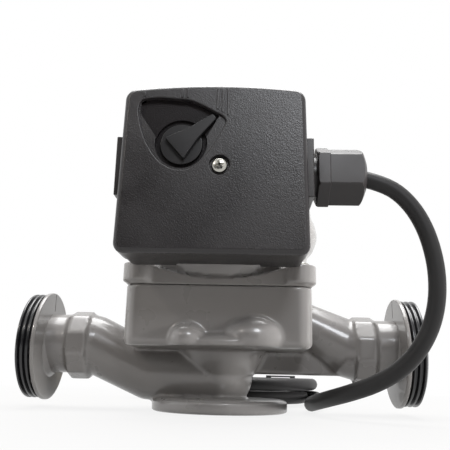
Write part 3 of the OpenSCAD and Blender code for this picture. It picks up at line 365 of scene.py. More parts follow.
# %% Swelling, channels and web
parts = [body]
for side in (-1, 1):
    swell = [ball("left_lobe", (-12.5, side * 35.0, 30.6), 8.6, 9.6, 7.0),
             ball("right_lobe", (14.8, side * 34.2, 31.6), 13.4, 10.8, 9.4),
             ball("belly", (3.8, side * 34.0, 29.0), 24.6, 10.6, 4.2)]
    for form in swell:
        cut(form, block("below", (-60, -60, 0), (60, 60, 27.5)))
    parts += swell
neck_z, neck_r, knee_r, bend_r, elbow_r, root_end_r = 29.2, 13.5, 13.2, 12.6, 15, 9.9
left_knee, left_bend, elbow = (-60, 0, neck_z), (-33, 0, 17), (0, 0, 16)
right_knee, right_root = (60, 0, neck_z), (39, 0, 40.5)
parts += [rod("neck_left", (-81, 0, neck_z), (-59, 0, neck_z), neck_r),
          rod("neck_right", (59, 0, neck_z), (81, 0, neck_z), neck_r),
          rod("dip_left", left_knee, left_bend, knee_r, bend_r),
          ball("bend_left", left_bend, bend_r),
          ball("knee_left", left_knee, knee_r),
          rod("under", left_bend, elbow, bend_r, elbow_r),
          ball("elbow", elbow, elbow_r),
          rod("flare", elbow, (0, 0, 29.7), elbow_r, 22.5),
          rod("outlet", right_knee, right_root, knee_r, root_end_r),
          ball("outlet_knee", right_knee, knee_r),
          ball("outlet_root", right_root, root_end_r),
          block("web", (8, -2.5, 17), (60, 2.5, 29.7))]
pad_r = 31
parts += [rod("pad", (0, 0, 0.6), (0, 0, 5.2), pad_r, pad_r, 96),
          rod("pad_foot", (0, 0, 0.05), (0, 0, 0.65), pad_r - 0.6, pad_r, 96),
          rod("pad_top", (0, 0, 5.1), (0, 0, 5.95), pad_r, pad_r - 3, 96)]
parts += [rod("flats", (x0, 0, 28.6), (x1, 0, 28.6), 15.7, 15.7, 10)
          for x0, x1 in ((-70.2, -61.2), (61.2, 70.2))]
casting = cast("housing_casting", 0.8, 3, *parts)

# %% Channels inside
bore_r = 10.0
cut(casting, rod("bore", (-85, 0, neck_z), left_knee, bore_r), ball("bore", left_knee, bore_r),
    rod("bore", left_knee, left_bend, bore_r, 9.5), ball("bore", left_bend, 9.5),
    rod("bore", right_knee, (85, 0, neck_z), bore_r), ball("bore", right_knee, bore_r),
    rod("bore", right_knee, right_root, bore_r, 7))
finish_piece(casting, "pump", "cast_paint", "pump_housing")

# %% [markdown]
# ## The ports
# Each port is a turned part of the casting: a thin rim, three turns of pipe thread in front of it, and the
# mouth. They are crisp where the casting is soft, so they are spun from a profile instead of remeshed. The
# thread is dark because it is bare, oiled iron, and the spray of the grey paint reaches over the rim onto its
# first turn.

# %% Port profile
axis_z, face = 28.0, 90.0
thread_r, root_r, pitch = 23.9, 22.42, 2.31
mouth_r, rim_r = 12.6, 24.7


def port(name, side):
    profile = [(face, mouth_r), (face, root_r - 0.5), (face - 0.35, root_r)]
    for turn in range(3):
        at = face - turn * pitch - 0.32
        profile += [(at, root_r), (at - 0.62, thread_r - 0.05), (at - 0.78, thread_r), (at - 1.2, thread_r),
                    (at - 1.36, thread_r - 0.05), (at - 1.98, root_r)]
    profile += [(82.6, root_r), (82.5, root_r + 0.1), (82.5, 24.3), (82.3, 24.62), (81.9, rim_r),
                (81.2, rim_r), (80.8, 24.6), (80.62, 24.3), (80.6, 23.8), (80.6, 14.6), (80.2, 13.9),
                (79.2, 13.3), (78.2, mouth_r), (78.2, 10.2), (78.2, bore_r), (80.9, bore_r), (81.1, 12.2),
                (81.3, 12.5), (89.6, 12.5)]
    o = turned(name, [(side * a, r) for a, r in profile], (0, 0, axis_z), "X", 128)
    near, far = sorted((side * 80.2, side * 81.2))
    cut(o, block("parting_cut", (near, -0.35, 44), (far, 0.35, 52.2)))
    return smooth(o, 40)


port_left = finish_piece(port("port_left", -1), "pump", "cast_paint")
port_right = finish_piece(port("port_right", 1), "pump", "cast_paint")

# %% [markdown]
# ## The motor housing
# The motor housing is an aluminium die casting. Its square flange sits on the pump housing, its sides dip in
# a long arc between four corner posts, and its round pot stands behind the terminal box. It is remeshed as
# the housing is, with smaller voxels, so that the posts keep their shape.

# %% Motor flange and pot
flange_top, slab_half, post = 62.0, wall - 0.1, 33.5
dip_half, dip_rise = 31, 6.2
dip_r = (dip_half ** 2 + dip_rise ** 2) / (2 * dip_rise)
dip_z = flange_top + dip_r - dip_rise
posts = [(x * post, y * post) for x in (-1, 1) for y in (-1, 1)]
slab = block("flange_slab", (-slab_half, -slab_half, joint_z + joint_gap), (slab_half, slab_half, flange_top))
bevel(slab, "EDGE", lambda e: runs_along(e, 2, 5), 5.8, 8)
add(slab, *[rod("ear", (*p, joint_z + 1.2), (*p, flange_top), 7.75) for p in posts])
cut(slab, rod("dip", (0, -80, dip_z), (0, 80, dip_z), dip_r, None, 256),
    rod("dip", (-80, 0, dip_z), (80, 0, dip_z), dip_r, None, 256))
pot_r, pot_h = 45.2, 68
pot_shares = [(0.87, 0), (0.897, 0.138), (0.951, 0.182), (0.98, 0.226), (1, 0.272), (1, 0.302),
              (0.982, 0.36), (0.951, 0.404), (0.938, 0.45), (0.92, 0.56), (0.905, 0.8), (0.89, 0.9),
              (0.86, 0.95), (0.81, 0.985), (0.75, 0.999)]
pot_line = smooth_through([(s * pot_r, flange_top + h * pot_h, 0) for s, h in pot_shares], 3)
pot_profile = [(joint_z + 1, 0.01), (joint_z + 1, 37)] + [(p.y, p.x) for p in pot_line]
pot_profile += [(flange_top + 67.9, 0.01)]
pot = turned("pot", pot_profile, (0, 0, 0), "Z", 128)
pad = block("box_pad", (-13, -47.4, 81.1), (13, -30, 113.4))
motor = cast("motor_casting", 0.8, 2, slab, pot, pad)
cut(motor, *[rod("seat", (*p, 57.2), (*p, 70), 5.6) for p in posts])
take(motor)
bpy.ops.object.shade_smooth_by_angle(angle=math.radians(60))
finish_piece(motor, "pump", "motor_paint", "motor_housing")

# %% [markdown]
# ## The terminal box
# The cover is a moulded lid with an arched top and a slight taper. It is cut from a block: the top corners
# are moved inwards, the top edge is divided and raised into its arch, and the corner and rim edges are
# rounded by bevels. The marks of the three speeds are raised strokes, joined to the face as small softened
# blocks. The window round the knob is then sunk into the face in two depths. The base behind it comes from
# the same block, a little smaller.

# %% Outline of the box
box_x, box_z0, box_top = -1.5, 59.4, 125.2
half_foot, half_top, arch, corner = 36.85, 35.45, 2.2, 4.0
face_y, cover_back, base_back = -72.3, -56.8, -42.5


def box_block(name, y0, y1, radius, shrink=0.0):
    foot, top = half_foot - shrink, half_top - shrink
    o = block(name, (box_x - half_foot + shrink, y0, box_z0 + shrink),
              (box_x + half_foot - shrink, y1, box_top - shrink))
    pick(o, "FACE", lambda f: f.normal.z > 0.9)
    bpy.ops.transform.resize(value=(top / foot, 1, 1), center_override=(box_x * mm, 0, 0))
    bpy.ops.object.mode_set(mode="OBJECT")
    bevel(o, "EDGE", lambda e: runs_along(e, 1, 2), radius, 7)
    pick(o, "EDGE", lambda e: all(v.co.z > 0.12 for v in e.verts) and runs_along(e, 0, 30))
    bpy.ops.mesh.subdivide(number_cuts=23)
    bpy.ops.object.mode_set(mode="OBJECT")
    for v in o.data.vertices:
        if v.co.z > 0.1:
            share = (v.co.x / mm - box_x) / half_top
            v.co.z += arch * (1 - share * share) * mm
    return o


def round_rim(o, y, radius, segments):
    bevel(o, "FACE", lambda f: abs(middle(f).y - y) < 0.05 and abs(f.normal.y) > 0.9, radius, segments)


def entry_cutters():
    x, half, reach_in = 38.6, 13, 2.9
    return [block("entry_cut", (box_x + s * x - reach_in, entry[0] - half, entry[1] - half),
                  (box_x + s * x + reach_in, entry[0] + half, entry[1] + half)) for s in (-1, 1)]


# %% Cover
cover = box_block("terminal_cover", face_y, cover_back, corner)
round_rim(cover, face_y, 2.2, 5)
round_rim(cover, cover_back, 0.35, 2)
knob_x, knob_z, reach = -14.3, 102.9, 17.0
screw_x, screw_z, seat_r = 0.9, 93.8, 4.0
window_depth, pocket_depth, well_depth, seat_depth = 1.2, 2.8, 4, 1.6
window_shares = [(-0.96, 1.01), (-0.85, 1.07), (-0.52, 1.1), (-0.15, 1.07), (0.18, 1.035), (0.51, 0.895),
                 (0.78, 0.74), (0.95, 0.64), (1.02, 0.51), (0.95, 0.35), (0.82, 0.1), (0.67, -0.16),
                 (0.52, -0.38), (0.37, -0.52), (0.19, -0.64), (0.01, -0.66), (-0.16, -0.64), (-0.35, -0.55),
                 (-0.54, -0.39), (-0.71, -0.15), (-0.86, 0.14), (-0.96, 0.48), (-1.01, 0.78)]
pocket_shares = [(-0.96, 1.0), (-0.85, 1.05), (-0.52, 1.08), (-0.15, 1.05), (0.18, 1.02), (0.51, 0.88),
                 (0.78, 0.725), (0.86, 0.67), (0.55, 0.1), (0.4, -0.3), (0.0, -0.52), (-0.4, -0.3),
                 (-0.55, 0.1), (-0.97, 0.73)]


def closed_smooth(points, steps):
    ring = [Vector((x, z, 0)) for x, z in points]
    line = []
    for i in range(len(ring)):
        four = [ring[(i + k) % len(ring)] for k in (-1, 0, 1, 2)]
        line += [on_curve(*four, k / steps).to_2d() for k in range(steps)]
    return line


def round_knob(shares):
    return [(knob_x + x * reach, knob_z + z * reach) for x, z in shares]


def sink(name, x, z, depth, radius):
    return rod(name, (x, face_y - 2, z), (x, face_y + depth, z), radius)


# %% Marks
mark_half, mark_rise, mark_margin = 0.43, 0.34, 1.9
marks = [(-0.877, 121.9), (0, 121.5), (0.124, 121.5), (0.82, 116.6), (0.933, 115.4), (1.06, 114.2)]
for share, mark_foot in marks:
    x = knob_x + share * reach
    mark_head = box_top + arch * (1 - ((x - box_x) / half_top) ** 2) - mark_margin
    ridge = block("mark", (x - mark_half, face_y - mark_rise, mark_foot),
                  (x + mark_half, face_y + 0.5, mark_head))
    soften(ridge, 0.2, lambda p: p.y < face_y)
    add(cover, ridge)

# %% Window, knob well and screw seat
window_line = round_knob(closed_smooth(window_shares, 3))
cut(cover, flat_form("window_cut", window_line, face_y - 2, face_y + window_depth))
print("rim edges rounded:", soften(cover, 0.45, lambda p: abs(p.y - face_y) < 0.02 and abs(p.x - knob_x) < 20,
                                   outer=True))
cut(cover, flat_form("pocket_cut", round_knob(pocket_shares), face_y - 2, face_y + pocket_depth),
    sink("well_cut", knob_x, knob_z, well_depth, 10.2),
    sink("screw_cut", screw_x, screw_z, seat_depth, seat_r))
soften(cover, 0.3, lambda p: abs(p.y - face_y) < 0.02
       and abs(math.hypot(p.x - screw_x, p.z - screw_z) - seat_r) < 0.1)
cut(cover, *entry_cutters())
smooth(cover, 40)
finish_piece(cover, "pump", "box_plastic", "box_cover")

# %% Base of the box
base = box_block("terminal_base", cover_back + 0.1, base_back, corner - 0.5, 0.5)
round_rim(base, base_back, 1.2, 3)
cut(base, block("pad_notch", (-17.3, -47.5, 50), (17.3, -30, 140)), *entry_cutters())
smooth(base, 40)
finish_piece(base, "pump", "box_plastic", "box_base")

# %% [markdown]
# ## The speed knob
# The knob is a disc with a kite-shaped pointer on it. The pointer is drawn from its corners, given its
# thickness and rounded at its tip and edges. It is set at the third speed, as in the photograph, and rides on
# the knob's body.

# %% Knob
pointer_turn = math.radians(41)
disc_front, pointer_front, pointer_back = -69.9, -72.1, -69.7
disc = rod("speed_selector", (knob_x, disc_front, knob_z), (knob_x, face_y + 3.7, knob_z), 8.3)
kite = [(1.0, 0.035), (0.985, 0.06), (0.95, 0.075), (0.34, 0.17), (-0.19, 0.33), (-0.2, 0.3), (-0.2, 0.0),
        (-0.2, -0.3), (-0.19, -0.33), (0.34, -0.17), (0.95, -0.075), (0.985, -0.06), (1.0, -0.035)]
kite_line = [(knob_x + reach * (a * math.cos(pointer_turn) - b * math.sin(pointer_turn)),
              knob_z + reach * (a * math.sin(pointer_turn) + b * math.cos(pointer_turn))) for a, b in kite]
pointer = flat_form("pointer", kite_line, pointer_front, pointer_back)
soften(disc, 0.4, lambda p: p.y < disc_front + 0.4)
soften(pointer, 0.35, lambda p: p.y < pointer_front + 0.2)
add(disc, pointer)
smooth(disc, 40)
finish_piece(disc, "knob", "knob_plastic", "speed_knob")

# %% [markdown]
# ## Cover screw
# A small pan-head screw with a cross recess sits in its own sunk seat. The head is spun with a domed top, and
# the cross is cut by two thin blades, one across the other. It is the one bright thing on the box.

# %% Screw
seat_y = face_y + seat_depth
head_shape = [(0, 0.01), (0, 3.0), (0.9, 3.0), (1.35, 2.75), (1.62, 2.3), (1.8, 1.6), (1.9, 0.8),
              (1.94, 0.01)]
head = turned("cover_pan_screw", [(seat_y - rise, r) for rise, r in head_shape],
              (screw_x, 0, screw_z), "Y", 64)
for angle in (20, 110):
    blade = block("blade", (-1.75, seat_y - 3, -0.42), (1.75, seat_y - 0.4, 0.42))
    take(blade)
    bpy.ops.transform.rotate(value=math.radians(angle), orient_axis="Y", center_override=(0, 0, 0))
    blade.location = (screw_x * mm, 0, screw_z * mm)
    set_down(blade)
    cut(head, blade)
smooth(head, 40)
finish_piece(head, "pump", "screw_steel", "cover_screw")

# %% [markdown]
# ## Entry plates and gland
# A square plate closes the left entry, and a like plate on the right carries the cable gland. The gland's nut
# is a hexagon with a wider collar at its foot, flats that stand back a little behind the collar, and an end
# that is rounded over to the lead. Two hexagons are joined and then kept only where they lie inside a spun
# barrel, which rounds their corners as turning does on a real nut.

# %% Entry plates
thread_hole_r = 8.05


def entry_plate(name, side):
    inner, outer = sorted((box_x + side * 36.0, box_x + side * 39.0))
    half, frame_width, panel_rise = 12.1, 3.2, 0.4
    o = block(name, (inner, entry[0] - half, entry[1] - half), (outer, entry[0] + half, entry[1] + half))
    pick(o, "FACE", lambda f: f.normal.x * side > 0.9)
    bpy.ops.mesh.inset(thickness=frame_width * mm)
    bpy.ops.mesh.extrude_region_move(TRANSFORM_OT_translate={"value": (side * panel_rise * mm, 0, 0)})
    bpy.ops.object.mode_set(mode="OBJECT")
    soften(o, 0.4)
    return o


plate_left = entry_plate("blank_plate", -1)
finish_piece(smooth(plate_left, 40), "pump", "gland_plastic", "blanking_plate")
plate_right = entry_plate("entry_plate", 1)
cut(plate_right, rod("thread_cut", (30, *entry), (45, *entry), thread_hole_r))
finish_piece(smooth(plate_right, 40), "pump", "gland_plastic", "gland_plate")

# %% Gland nut
nut_x0, nut_x1, dome_x = 39.2, 55.5, 58.9
nut_af = 22.2
edge_below = 29  # degrees between straight forward and the hexagon's edge that the camera sees below the axis


def hexagon(name, x0, x1, across):
    o = rod(name, (x0, *entry), (x1, *entry), across / math.sqrt(3), None, 6)
    axis = Vector((0, *entry)) * mm
    spoke = o.data.vertices[0].co - axis
    seen = math.degrees(math.atan2(spoke.z, -spoke.y))
    o.data.transform(Matrix.Translation(axis) @ Matrix.Rotation(math.radians(seen + edge_below), 4, "X")
                     @ Matrix.Translation(-axis))
    soften(o, 0.45, segments=2)
    return o


nut = hexagon("gland_hexagon", nut_x0 + 0.5, nut_x1 + 2.4, nut_af - 1.2)
add(nut, hexagon("gland_collar", nut_x0, nut_x0 + 5.0, nut_af))
barrel_shape = [(nut_x0, 0.01), (nut_x0, 11.7), (nut_x0 + 0.9, 12.75), (nut_x1 - 0.6, 12.75),
                (nut_x1 + 0.6, 12.2), (nut_x1 + 1.6, 11.2), (nut_x1 + 2.3, 9.8), (nut_x1 + 2.7, 8.0),
                (nut_x1 + 2.7, 0.01)]
barrel = turned("barrel", barrel_shape, (0, *entry), "X", 96)
modify(nut, "BOOLEAN", operation="INTERSECT", object=barrel, solver="EXACT")
bpy.data.objects.remove(barrel)
dome = turned("dome", [(nut_x1, 0.01), (nut_x1, 9.6), (nut_x1 + 2.2, 9.4), (nut_x1 + 2.8, 8.6),
                       (dome_x - 0.3, 7.4), (dome_x, 6.9), (dome_x, 0.01)], (0, *entry), "X", 96)
add(nut, dome)
cut(nut, rod("bell_cut", (lead_x, *entry), (dome_x + 1, *entry), 4.2, 6.2),
    rod("thread_cut", (nut_x0 - 1, *entry), (lead_x + 0.1, *entry), thread_hole_r))
finish_piece(smooth(nut, 35), "pump", "gland_plastic", "gland_nut")

# %% [markdown]
# ## Finishes
# Two effects come up in more than one finish: the fine grain of moulded plastic and the soft waves and specks
# of sprayed paint. Each is a small group of nodes that puts out a height and a mask, placed in a finish with
# its own numbers. All patterns read object coordinates, so they stay put on the piece and bake well.

# %% Node helpers
def feed(tree, socket, value):
    """Links an output to the socket, or sets the socket to a plain value."""
    if isinstance(value, bpy.types.NodeSocket):
        tree.links.new(value, socket)
    else:
        socket.default_value = value


def object_place(tree):
    return tree.nodes.new("ShaderNodeTexCoord").outputs["Object"]


def object_axes(tree):
    split = tree.nodes.new("ShaderNodeSeparateXYZ")
    tree.links.new(object_place(tree), split.inputs["Vector"])
    return split.outputs


def noise(tree, scale, detail, roughness):
    n = tree.nodes.new("ShaderNodeTexNoise")
    n.inputs["Detail"].default_value = detail
    n.inputs["Roughness"].default_value = roughness
    tree.links.new(object_place(tree), n.inputs["Vector"])
    feed(tree, n.inputs["Scale"], scale)
    return n.outputs["Fac"]


def math_node(tree, operation, *values):
    n = tree.nodes.new("ShaderNodeMath")
    n.operation = operation
    for socket, value in zip(n.inputs, values):
        feed(tree, socket, value)
    return n.outputs["Value"]


def map_range(tree, value, from_min, from_max, to_min=0.0, to_max=1.0):
    n = tree.nodes.new("ShaderNodeMapRange")
    numbers = {"From Min": from_min, "From Max": from_max, "To Min": to_min, "To Max": to_max}
    for label, number in numbers.items():
        n.inputs[label].default_value = number
    tree.links.new(value, n.inputs["Value"])
    return n.outputs["Result"]


# %% Shared groups
def group(name, inputs, outputs):
    g = bpy.data.node_groups.new(name, "ShaderNodeTree")
    for label, value in inputs:
        g.interface.new_socket(label, in_out="INPUT", socket_type="NodeSocketFloat").default_value = value
    for label in outputs:
        g.interface.new_socket(label, in_out="OUTPUT", socket_type="NodeSocketFloat")
    return g, g.nodes.new("NodeGroupInput").outputs, g.nodes.new("NodeGroupOutput").inputs


grain, given, result = group("moulded grain", [("Scale", 1500.0)], ["Height", "Shade"])
grain.links.new(noise(grain, given["Scale"], 2.0, 0.6), result["Height"])
grain.links.new(noise(grain, 45.0, 4.0, 0.5), result["Shade"])

skin, given, result = group("cast paint skin", [("Waves", 70.0), ("Specks", 900.0)], ["Height", "Shade"])
waves = noise(skin, given["Waves"], 3.0, 0.5)
specks = noise(skin, given["Specks"], 1.0, 0.5)
skin.links.new(math_node(skin, "MULTIPLY_ADD", specks, 0.12, waves), result["Height"])
skin.links.new(waves, result["Shade"])


# %% Finish builder
def new_finish(name, colour, metallic, roughness):
    m = bpy.data.materials.new(name)
    m.use_nodes = True
    m.diffuse_color = (*colour, 1)
    shader = m.node_tree.nodes["Principled BSDF"]
    shader.inputs["Base Color"].default_value = (*colour, 1)
    shader.inputs["Metallic"].default_value = metallic
    shader.inputs["Roughness"].default_value = roughness
    return m, m.node_tree, shader


def place_group(tree, g, **values):
    n = tree.nodes.new("ShaderNodeGroup")
    n.node_tree = g
    for label, value in values.items():
        n.inputs[label].default_value = value
    return n


def bump(tree, shader, height, strength, distance):
    n = tree.nodes.new("ShaderNodeBump")
    n.inputs["Strength"].default_value = strength
    n.inputs["Distance"].default_value = distance * mm
    tree.links.new(height, n.inputs["Height"])
    tree.links.new(n.outputs["Normal"], shader.inputs["Normal"])


def between(tree, mask, low, high, target):
    """Mixes two colours, or ranges a number, by a mask."""
    if isinstance(low, tuple):
        n = tree.nodes.new("ShaderNodeMix")
        n.data_type = "RGBA"
        n.inputs["A"].default_value = (*low, 1)
        n.inputs["B"].default_value = (*high, 1)
        tree.links.new(mask, n.inputs["Factor"])
        tree.links.new(n.outputs["Result"], target)
    else:
        tree.links.new(map_range(tree, mask, 0.3, 0.7, low, high), target)


def tinted(colour, factor):
    return tuple(c * factor for c in colour)


def moulded(name, colour, lift, rough, scale, strength, distance=0.05, specular=0.5):
    m, tree, shader = new_finish(name, colour, 0.0, rough)
    shader.inputs["Specular IOR Level"].default_value = specular
    g = place_group(tree, grain, Scale=scale)
    between(tree, g.outputs["Shade"], colour, tinted(colour, lift), shader.inputs["Base Color"])
    between(tree, g.outputs["Shade"], rough - 0.05, rough + 0.07, shader.inputs["Roughness"])
    bump(tree, shader, g.outputs["Height"], strength, distance)
    return m


def paint_recess_shade(m, axis_x, axis_z, radius, depth, full, dim):
    """Painted shade: less shine deeper than the depth, within a radius round an axis along Y."""
    tree = m.node_tree
    place = object_axes(tree)
    across = math_node(tree, "SUBTRACT", place["X"], axis_x * mm)
    up = math_node(tree, "SUBTRACT", place["Z"], axis_z * mm)
    squared = math_node(tree, "ADD", math_node(tree, "MULTIPLY", across, across),
                        math_node(tree, "MULTIPLY", up, up))
    inside = math_node(tree, "LESS_THAN", squared, (radius * mm) ** 2)
    deep = math_node(tree, "GREATER_THAN", place["Y"], depth * mm)
    # painted shade: the recess deep behind the face gets less shine, so it reads darker
    recess_shade = math_node(tree, "MULTIPLY", inside, deep)
    shine = math_node(tree, "SUBTRACT", full, math_node(tree, "MULTIPLY", recess_shade, full - dim))
    tree.links.new(shine, tree.nodes["Principled BSDF"].inputs["Specular IOR Level"])


def painted(name, colour, rough):
    m, tree, shader = new_finish(name, colour, 0.0, rough)
    g = place_group(tree, skin, Waves=60.0, Specks=700.0)
    between(tree, g.outputs["Shade"], tinted(colour, 0.985), tinted(colour, 1.015),
            shader.inputs["Base Color"])
    between(tree, g.outputs["Shade"], rough - 0.01, rough + 0.015, shader.inputs["Roughness"])
    bump(tree, shader, g.outputs["Height"], 0.25, 0.22)
    shader.inputs["Coat Weight"].default_value = 0.35
    shader.inputs["Coat Roughness"].default_value = 0.08
    return m


def metal(name, colour, rough):
    m, tree, shader = new_finish(name, colour, 1.0, rough)
    g = place_group(tree, skin, Waves=300.0, Specks=2200.0)
    between(tree, g.outputs["Shade"], tinted(colour, 0.86), colour, shader.inputs["Base Color"])
    between(tree, g.outputs["Shade"], rough - 0.06, rough + 0.1, shader.inputs["Roughness"])
    bump(tree, shader, g.outputs["Height"], 0.15, 0.05)
    return m


# %% [markdown]
# The grey is a sprayed enamel: smooth, glossy, and wavy over the rough casting. The box is a black plastic
# with a fine even grain that catches light at low angles; down in the window its shine is lowered as painted
# shade. The knob is the same plastic without the grain, and the lead's sheath is softer and duller.

# %% Finishes of the pump
enamel = (0.19, 0.18, 0.172)
grey_paint = painted("grey enamel", enamel, 0.28)
motor_paint = painted("motor enamel", enamel, 0.28)
box_black = moulded("grained black", (0.012, 0.0105, 0.011), 1.25, 0.33, 2000.0, 1.0, 0.085, 0.48)
# painted shade: the box plastic shines less deep in the window round the knob, so the recess reads darker
paint_recess_shade(box_black, knob_x, knob_z, 26.0, face_y + 1.7, 0.5, 0.12)
knob_black = moulded("satin black", (0.01, 0.0095, 0.01), 1.2, 0.33, 700.0, 0.08, 0.05, 0.4)
gland_black = moulded("gland black", (0.015, 0.013, 0.013), 1.3, 0.34, 900.0, 0.12, 0.05, 0.45)
sheath_black = moulded("lead sheath", (0.011, 0.0105, 0.0105), 1.3, 0.5, 500.0, 0.2, 0.05, 0.3)
rubber_black = moulded("seal rubber", (0.02, 0.02, 0.02), 1.4, 0.6, 800.0, 0.3)
plug_black = moulded("plug moulding", (0.02, 0.02, 0.021), 1.2, 0.35, 600.0, 0.1)
ivory = moulded("ivory plastic", (0.62, 0.58, 0.48), 1.1, 0.45, 700.0, 0.1)
beige = moulded("impeller plastic", (0.5, 0.42, 0.28), 1.1, 0.5, 500.0, 0.2)
carbon = moulded("bearing carbon", (0.03, 0.03, 0.032), 1.5, 0.45, 600.0, 0.2)
yellow = moulded("capacitor case", (0.5, 0.32, 0.03), 1.1, 0.35, 600.0, 0.1)
switch_grey = moulded("switch body", (0.04, 0.05, 0.055), 1.2, 0.45, 700.0, 0.1)
red_wire = moulded("red wire", (0.35, 0.02, 0.015), 1.1, 0.45, 500.0, 0.1)
brown_wire = moulded("brown wire", (0.12, 0.045, 0.018), 1.1, 0.45, 500.0, 0.1)
zinc = metal("zinc screw", (0.5, 0.49, 0.45), 0.22)
bright = metal("bright steel", (0.66, 0.66, 0.67), 0.28)
lamination = metal("lamination steel", (0.2, 0.2, 0.21), 0.45)
copper = metal("winding copper", (0.55, 0.2, 0.07), 0.35)
vent_brass = metal("vent brass", (0.72, 0.52, 0.25), 0.25)
pin_brass = metal("plug pins", (0.7, 0.6, 0.4), 0.25)
plate_alu = metal("blank plate", (0.7, 0.7, 0.71), 0.35)
earth_green, tree, shader = new_finish("earth screw", (0.03, 0.25, 0.04), 0.6, 0.35)
g = place_group(tree, skin, Waves=300.0, Specks=2000.0)
between(tree, g.outputs["Shade"], (0.02, 0.2, 0.03), (0.05, 0.3, 0.06), shader.inputs["Base Color"])

# %% [markdown]
# The ports change from enamel to bare thread at a distance from the pump's middle, so the change is made by
# how far along X a point lies. The waves of the skin push that line to and fro, as the edge of a sprayed coat
# does.

# %% Thread of the ports
thread_paint, tree, shader = new_finish("port enamel and bare thread", enamel, 0.0, 0.3)
g = place_group(tree, skin, Waves=220.0, Specks=900.0)
distance = math_node(tree, "ABSOLUTE", object_axes(tree)["X"])
edge = math_node(tree, "MULTIPLY_ADD", g.outputs["Shade"], 2.2 * mm, distance)
bare = map_range(tree, edge, 83.9 * mm, 84.2 * mm)
between(tree, bare, enamel, (0.008, 0.008, 0.009), shader.inputs["Base Color"])
bump(tree, shader, g.outputs["Height"], 0.25, 0.2)
shader.inputs["Coat Weight"].default_value = 0.3

# %% [markdown]
# The new pieces get their finish one by one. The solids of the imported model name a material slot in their
# record, so a table from slot to finish dresses them all.

# %% Give every piece its finish
def wear(o, material):
    o.data.materials.clear()
    o.data.materials.append(material)


for o, material in ((cable, sheath_black), (casting, grey_paint), (port_left, thread_paint),
                    (port_right, thread_paint), (motor, motor_paint), (cover, box_black), (base, box_black),
                    (disc, knob_black), (head, zinc), (plate_left, gland_black), (plate_right, gland_black),
                    (nut, gland_black)):
    wear(o, material)
slot_finish = {
    "cast_paint": grey_paint, "motor_paint": motor_paint, "box_plastic": box_black,
    "knob_plastic": knob_black, "gland_plastic": gland_black, "lead_sheath": sheath_black,
    "plug_plastic": plug_black, "pin_metal": pin_brass, "screw_steel": zinc, "earth_steel": earth_green,
    "bright_steel": bright, "core_steel": lamination, "winding": copper, "impeller_plastic": beige,
    "bearing_carbon": carbon, "seal_rubber": rubber_black, "vent_brass": vent_brass,
    "plate_metal": plate_alu, "terminal_plastic": ivory, "capacitor_plastic": yellow,
    "switch_plastic": switch_grey, "core_red": red_wire, "core_brown": brown_wire}
for part in frame["record"]["subparts"]:
    wear(nodes[part["node"]], slot_finish[part["material_slot"]])

# %% [markdown]
# ## Floor, backdrop and light
# The pump stands on a white table in front of white. For the camera, for reflections and through glass both
# are plain white, while the lamps light the pump at an even, soft level. The white comes from Light Path and
# never from more light on the pump, so its colours stay as they are written.

# %% Floor and backdrop
deselect()
bpy.ops.mesh.primitive_plane_add(size=6, location=(0, 0, -0.0002))
floor = bpy.context.object
floor.name = "table"
white, tree, shader = new_finish("white table", (0.32, 0.31, 0.3), 0.0, 0.7)
floor.data.materials.append(white)


def seen_plainly(tree):
    """1 for rays from the camera, from a reflection or through glass, and 0 for those that carry light."""
    path = tree.nodes.new("ShaderNodeLightPath").outputs
    through = math_node(tree, "MAXIMUM", path["Is Glossy Ray"], path["Is Transmission Ray"])
    return math_node(tree, "MAXIMUM", path["Is Camera Ray"], through)


def choose(tree, share, first, second, target):
    n = tree.nodes.new("ShaderNodeMixShader")
    for socket, output in zip(n.inputs, (share, first, second)):
        tree.links.new(output, socket)
    tree.links.new(n.outputs["Shader"], target)


far = tree.nodes.new("ShaderNodeVectorMath")
far.operation = "LENGTH"
tree.links.new(object_place(tree), far.inputs[0])
fade = map_range(tree, far.outputs["Value"], 0.12, 0.5, 0.85)
glow = tree.nodes.new("ShaderNodeEmission")
share = math_node(tree, "MULTIPLY", seen_plainly(tree), fade)
choose(tree, share, shader.outputs["BSDF"], glow.outputs["Emission"],
       tree.nodes["Material Output"].inputs["Surface"])
world = bpy.data.worlds.new("studio")
bpy.context.scene.world = world
world.use_nodes = True
tree = world.node_tree
tree.nodes.clear()


def background(tree, colour, strength):
    n = tree.nodes.new("ShaderNodeBackground")
    n.inputs["Color"].default_value = (*colour, 1)
    n.inputs["Strength"].default_value = strength
    return n.outputs["Background"]


choose(tree, seen_plainly(tree), background(tree, (0.95, 0.97, 1), 0.05), background(tree, (1, 1, 1), 1.0),
       tree.nodes.new("ShaderNodeOutputWorld").inputs["Surface"])

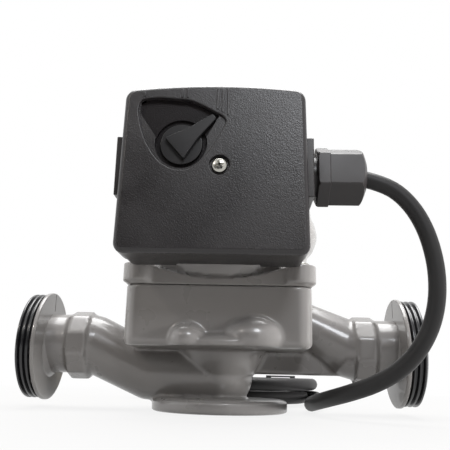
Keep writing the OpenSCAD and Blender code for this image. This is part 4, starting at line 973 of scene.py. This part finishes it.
# %% [markdown]
# In a studio a black card beside the camera keeps white from being mirrored where a dark form should stay
# dark. Here it stands on the left, where only reflections see it. A large lamp hangs above and a window lamp
# shines from the front. The two lamps at the sides give light but aren't mirrored, and two small warm ones
# set the glints on the casting.

# %% Dark card
deselect()
bpy.ops.mesh.primitive_plane_add(size=1, location=(-0.23, -0.62, 0.2), rotation=(math.pi / 2, 0, 0))
card = bpy.context.object
card.name = "dark_card"
card.scale = (0.74, 0.4, 1)
set_down(card)
black, tree, shader = new_finish("black card", (0.001, 0.001, 0.001), 0.0, 1.0)
shader.inputs["Specular IOR Level"].default_value = 0.0
card.data.materials.append(black)
card.visible_camera = False
card.visible_diffuse = False
card.visible_shadow = False

# %% Lamps
def lamp(name, place, aim, size, watts, tint=(1, 1, 1), mirrored=True):
    deselect()
    bpy.ops.object.light_add(type="AREA", location=place)
    o = bpy.context.object
    o.name = name
    o.data.shape = "RECTANGLE"
    o.data.size, o.data.size_y = size
    o.data.energy = watts
    o.data.color = tint
    o.visible_glossy = mirrored
    o.rotation_euler = (Vector(aim) - Vector(place)).to_track_quat("-Z", "Y").to_euler()
    return o


lamp("overhead", (0, 0.1, 0.8), (0, 0, 0.05), (0.7, 0.6), 12.5)
lamp("left_side", (-0.8, 0.0, 0.25), (0, 0, 0.06), (0.5, 0.6), 7.5, (0.96, 0.98, 1), mirrored=False)
lamp("right_side", (0.74, -0.1, 0.1), (0, 0, 0.04), (0.4, 0.18), 14, (0.98, 0.99, 1), mirrored=False)
lamp("front_window", (0.2, -0.85, 0.64), (0, 0, 0.08), (0.25, 0.25), 4.2, (0.92, 0.95, 1))
lamp("warm_right", (0.17, -0.85, 0.36), (0, 0, 0.08), (0.06, 0.06), 0.15, (1, 0.85, 0.7))
lamp("warm_left", (-0.45, -0.6, 0.5), (0, 0, 0.06), (0.05, 0.05), 0.7, (1, 0.93, 0.85))

# %% [markdown]
# ## Last step
# The colours are shown as they are, with no film look on top.

# %% View settings
bpy.context.scene.view_settings.view_transform = "Standard"
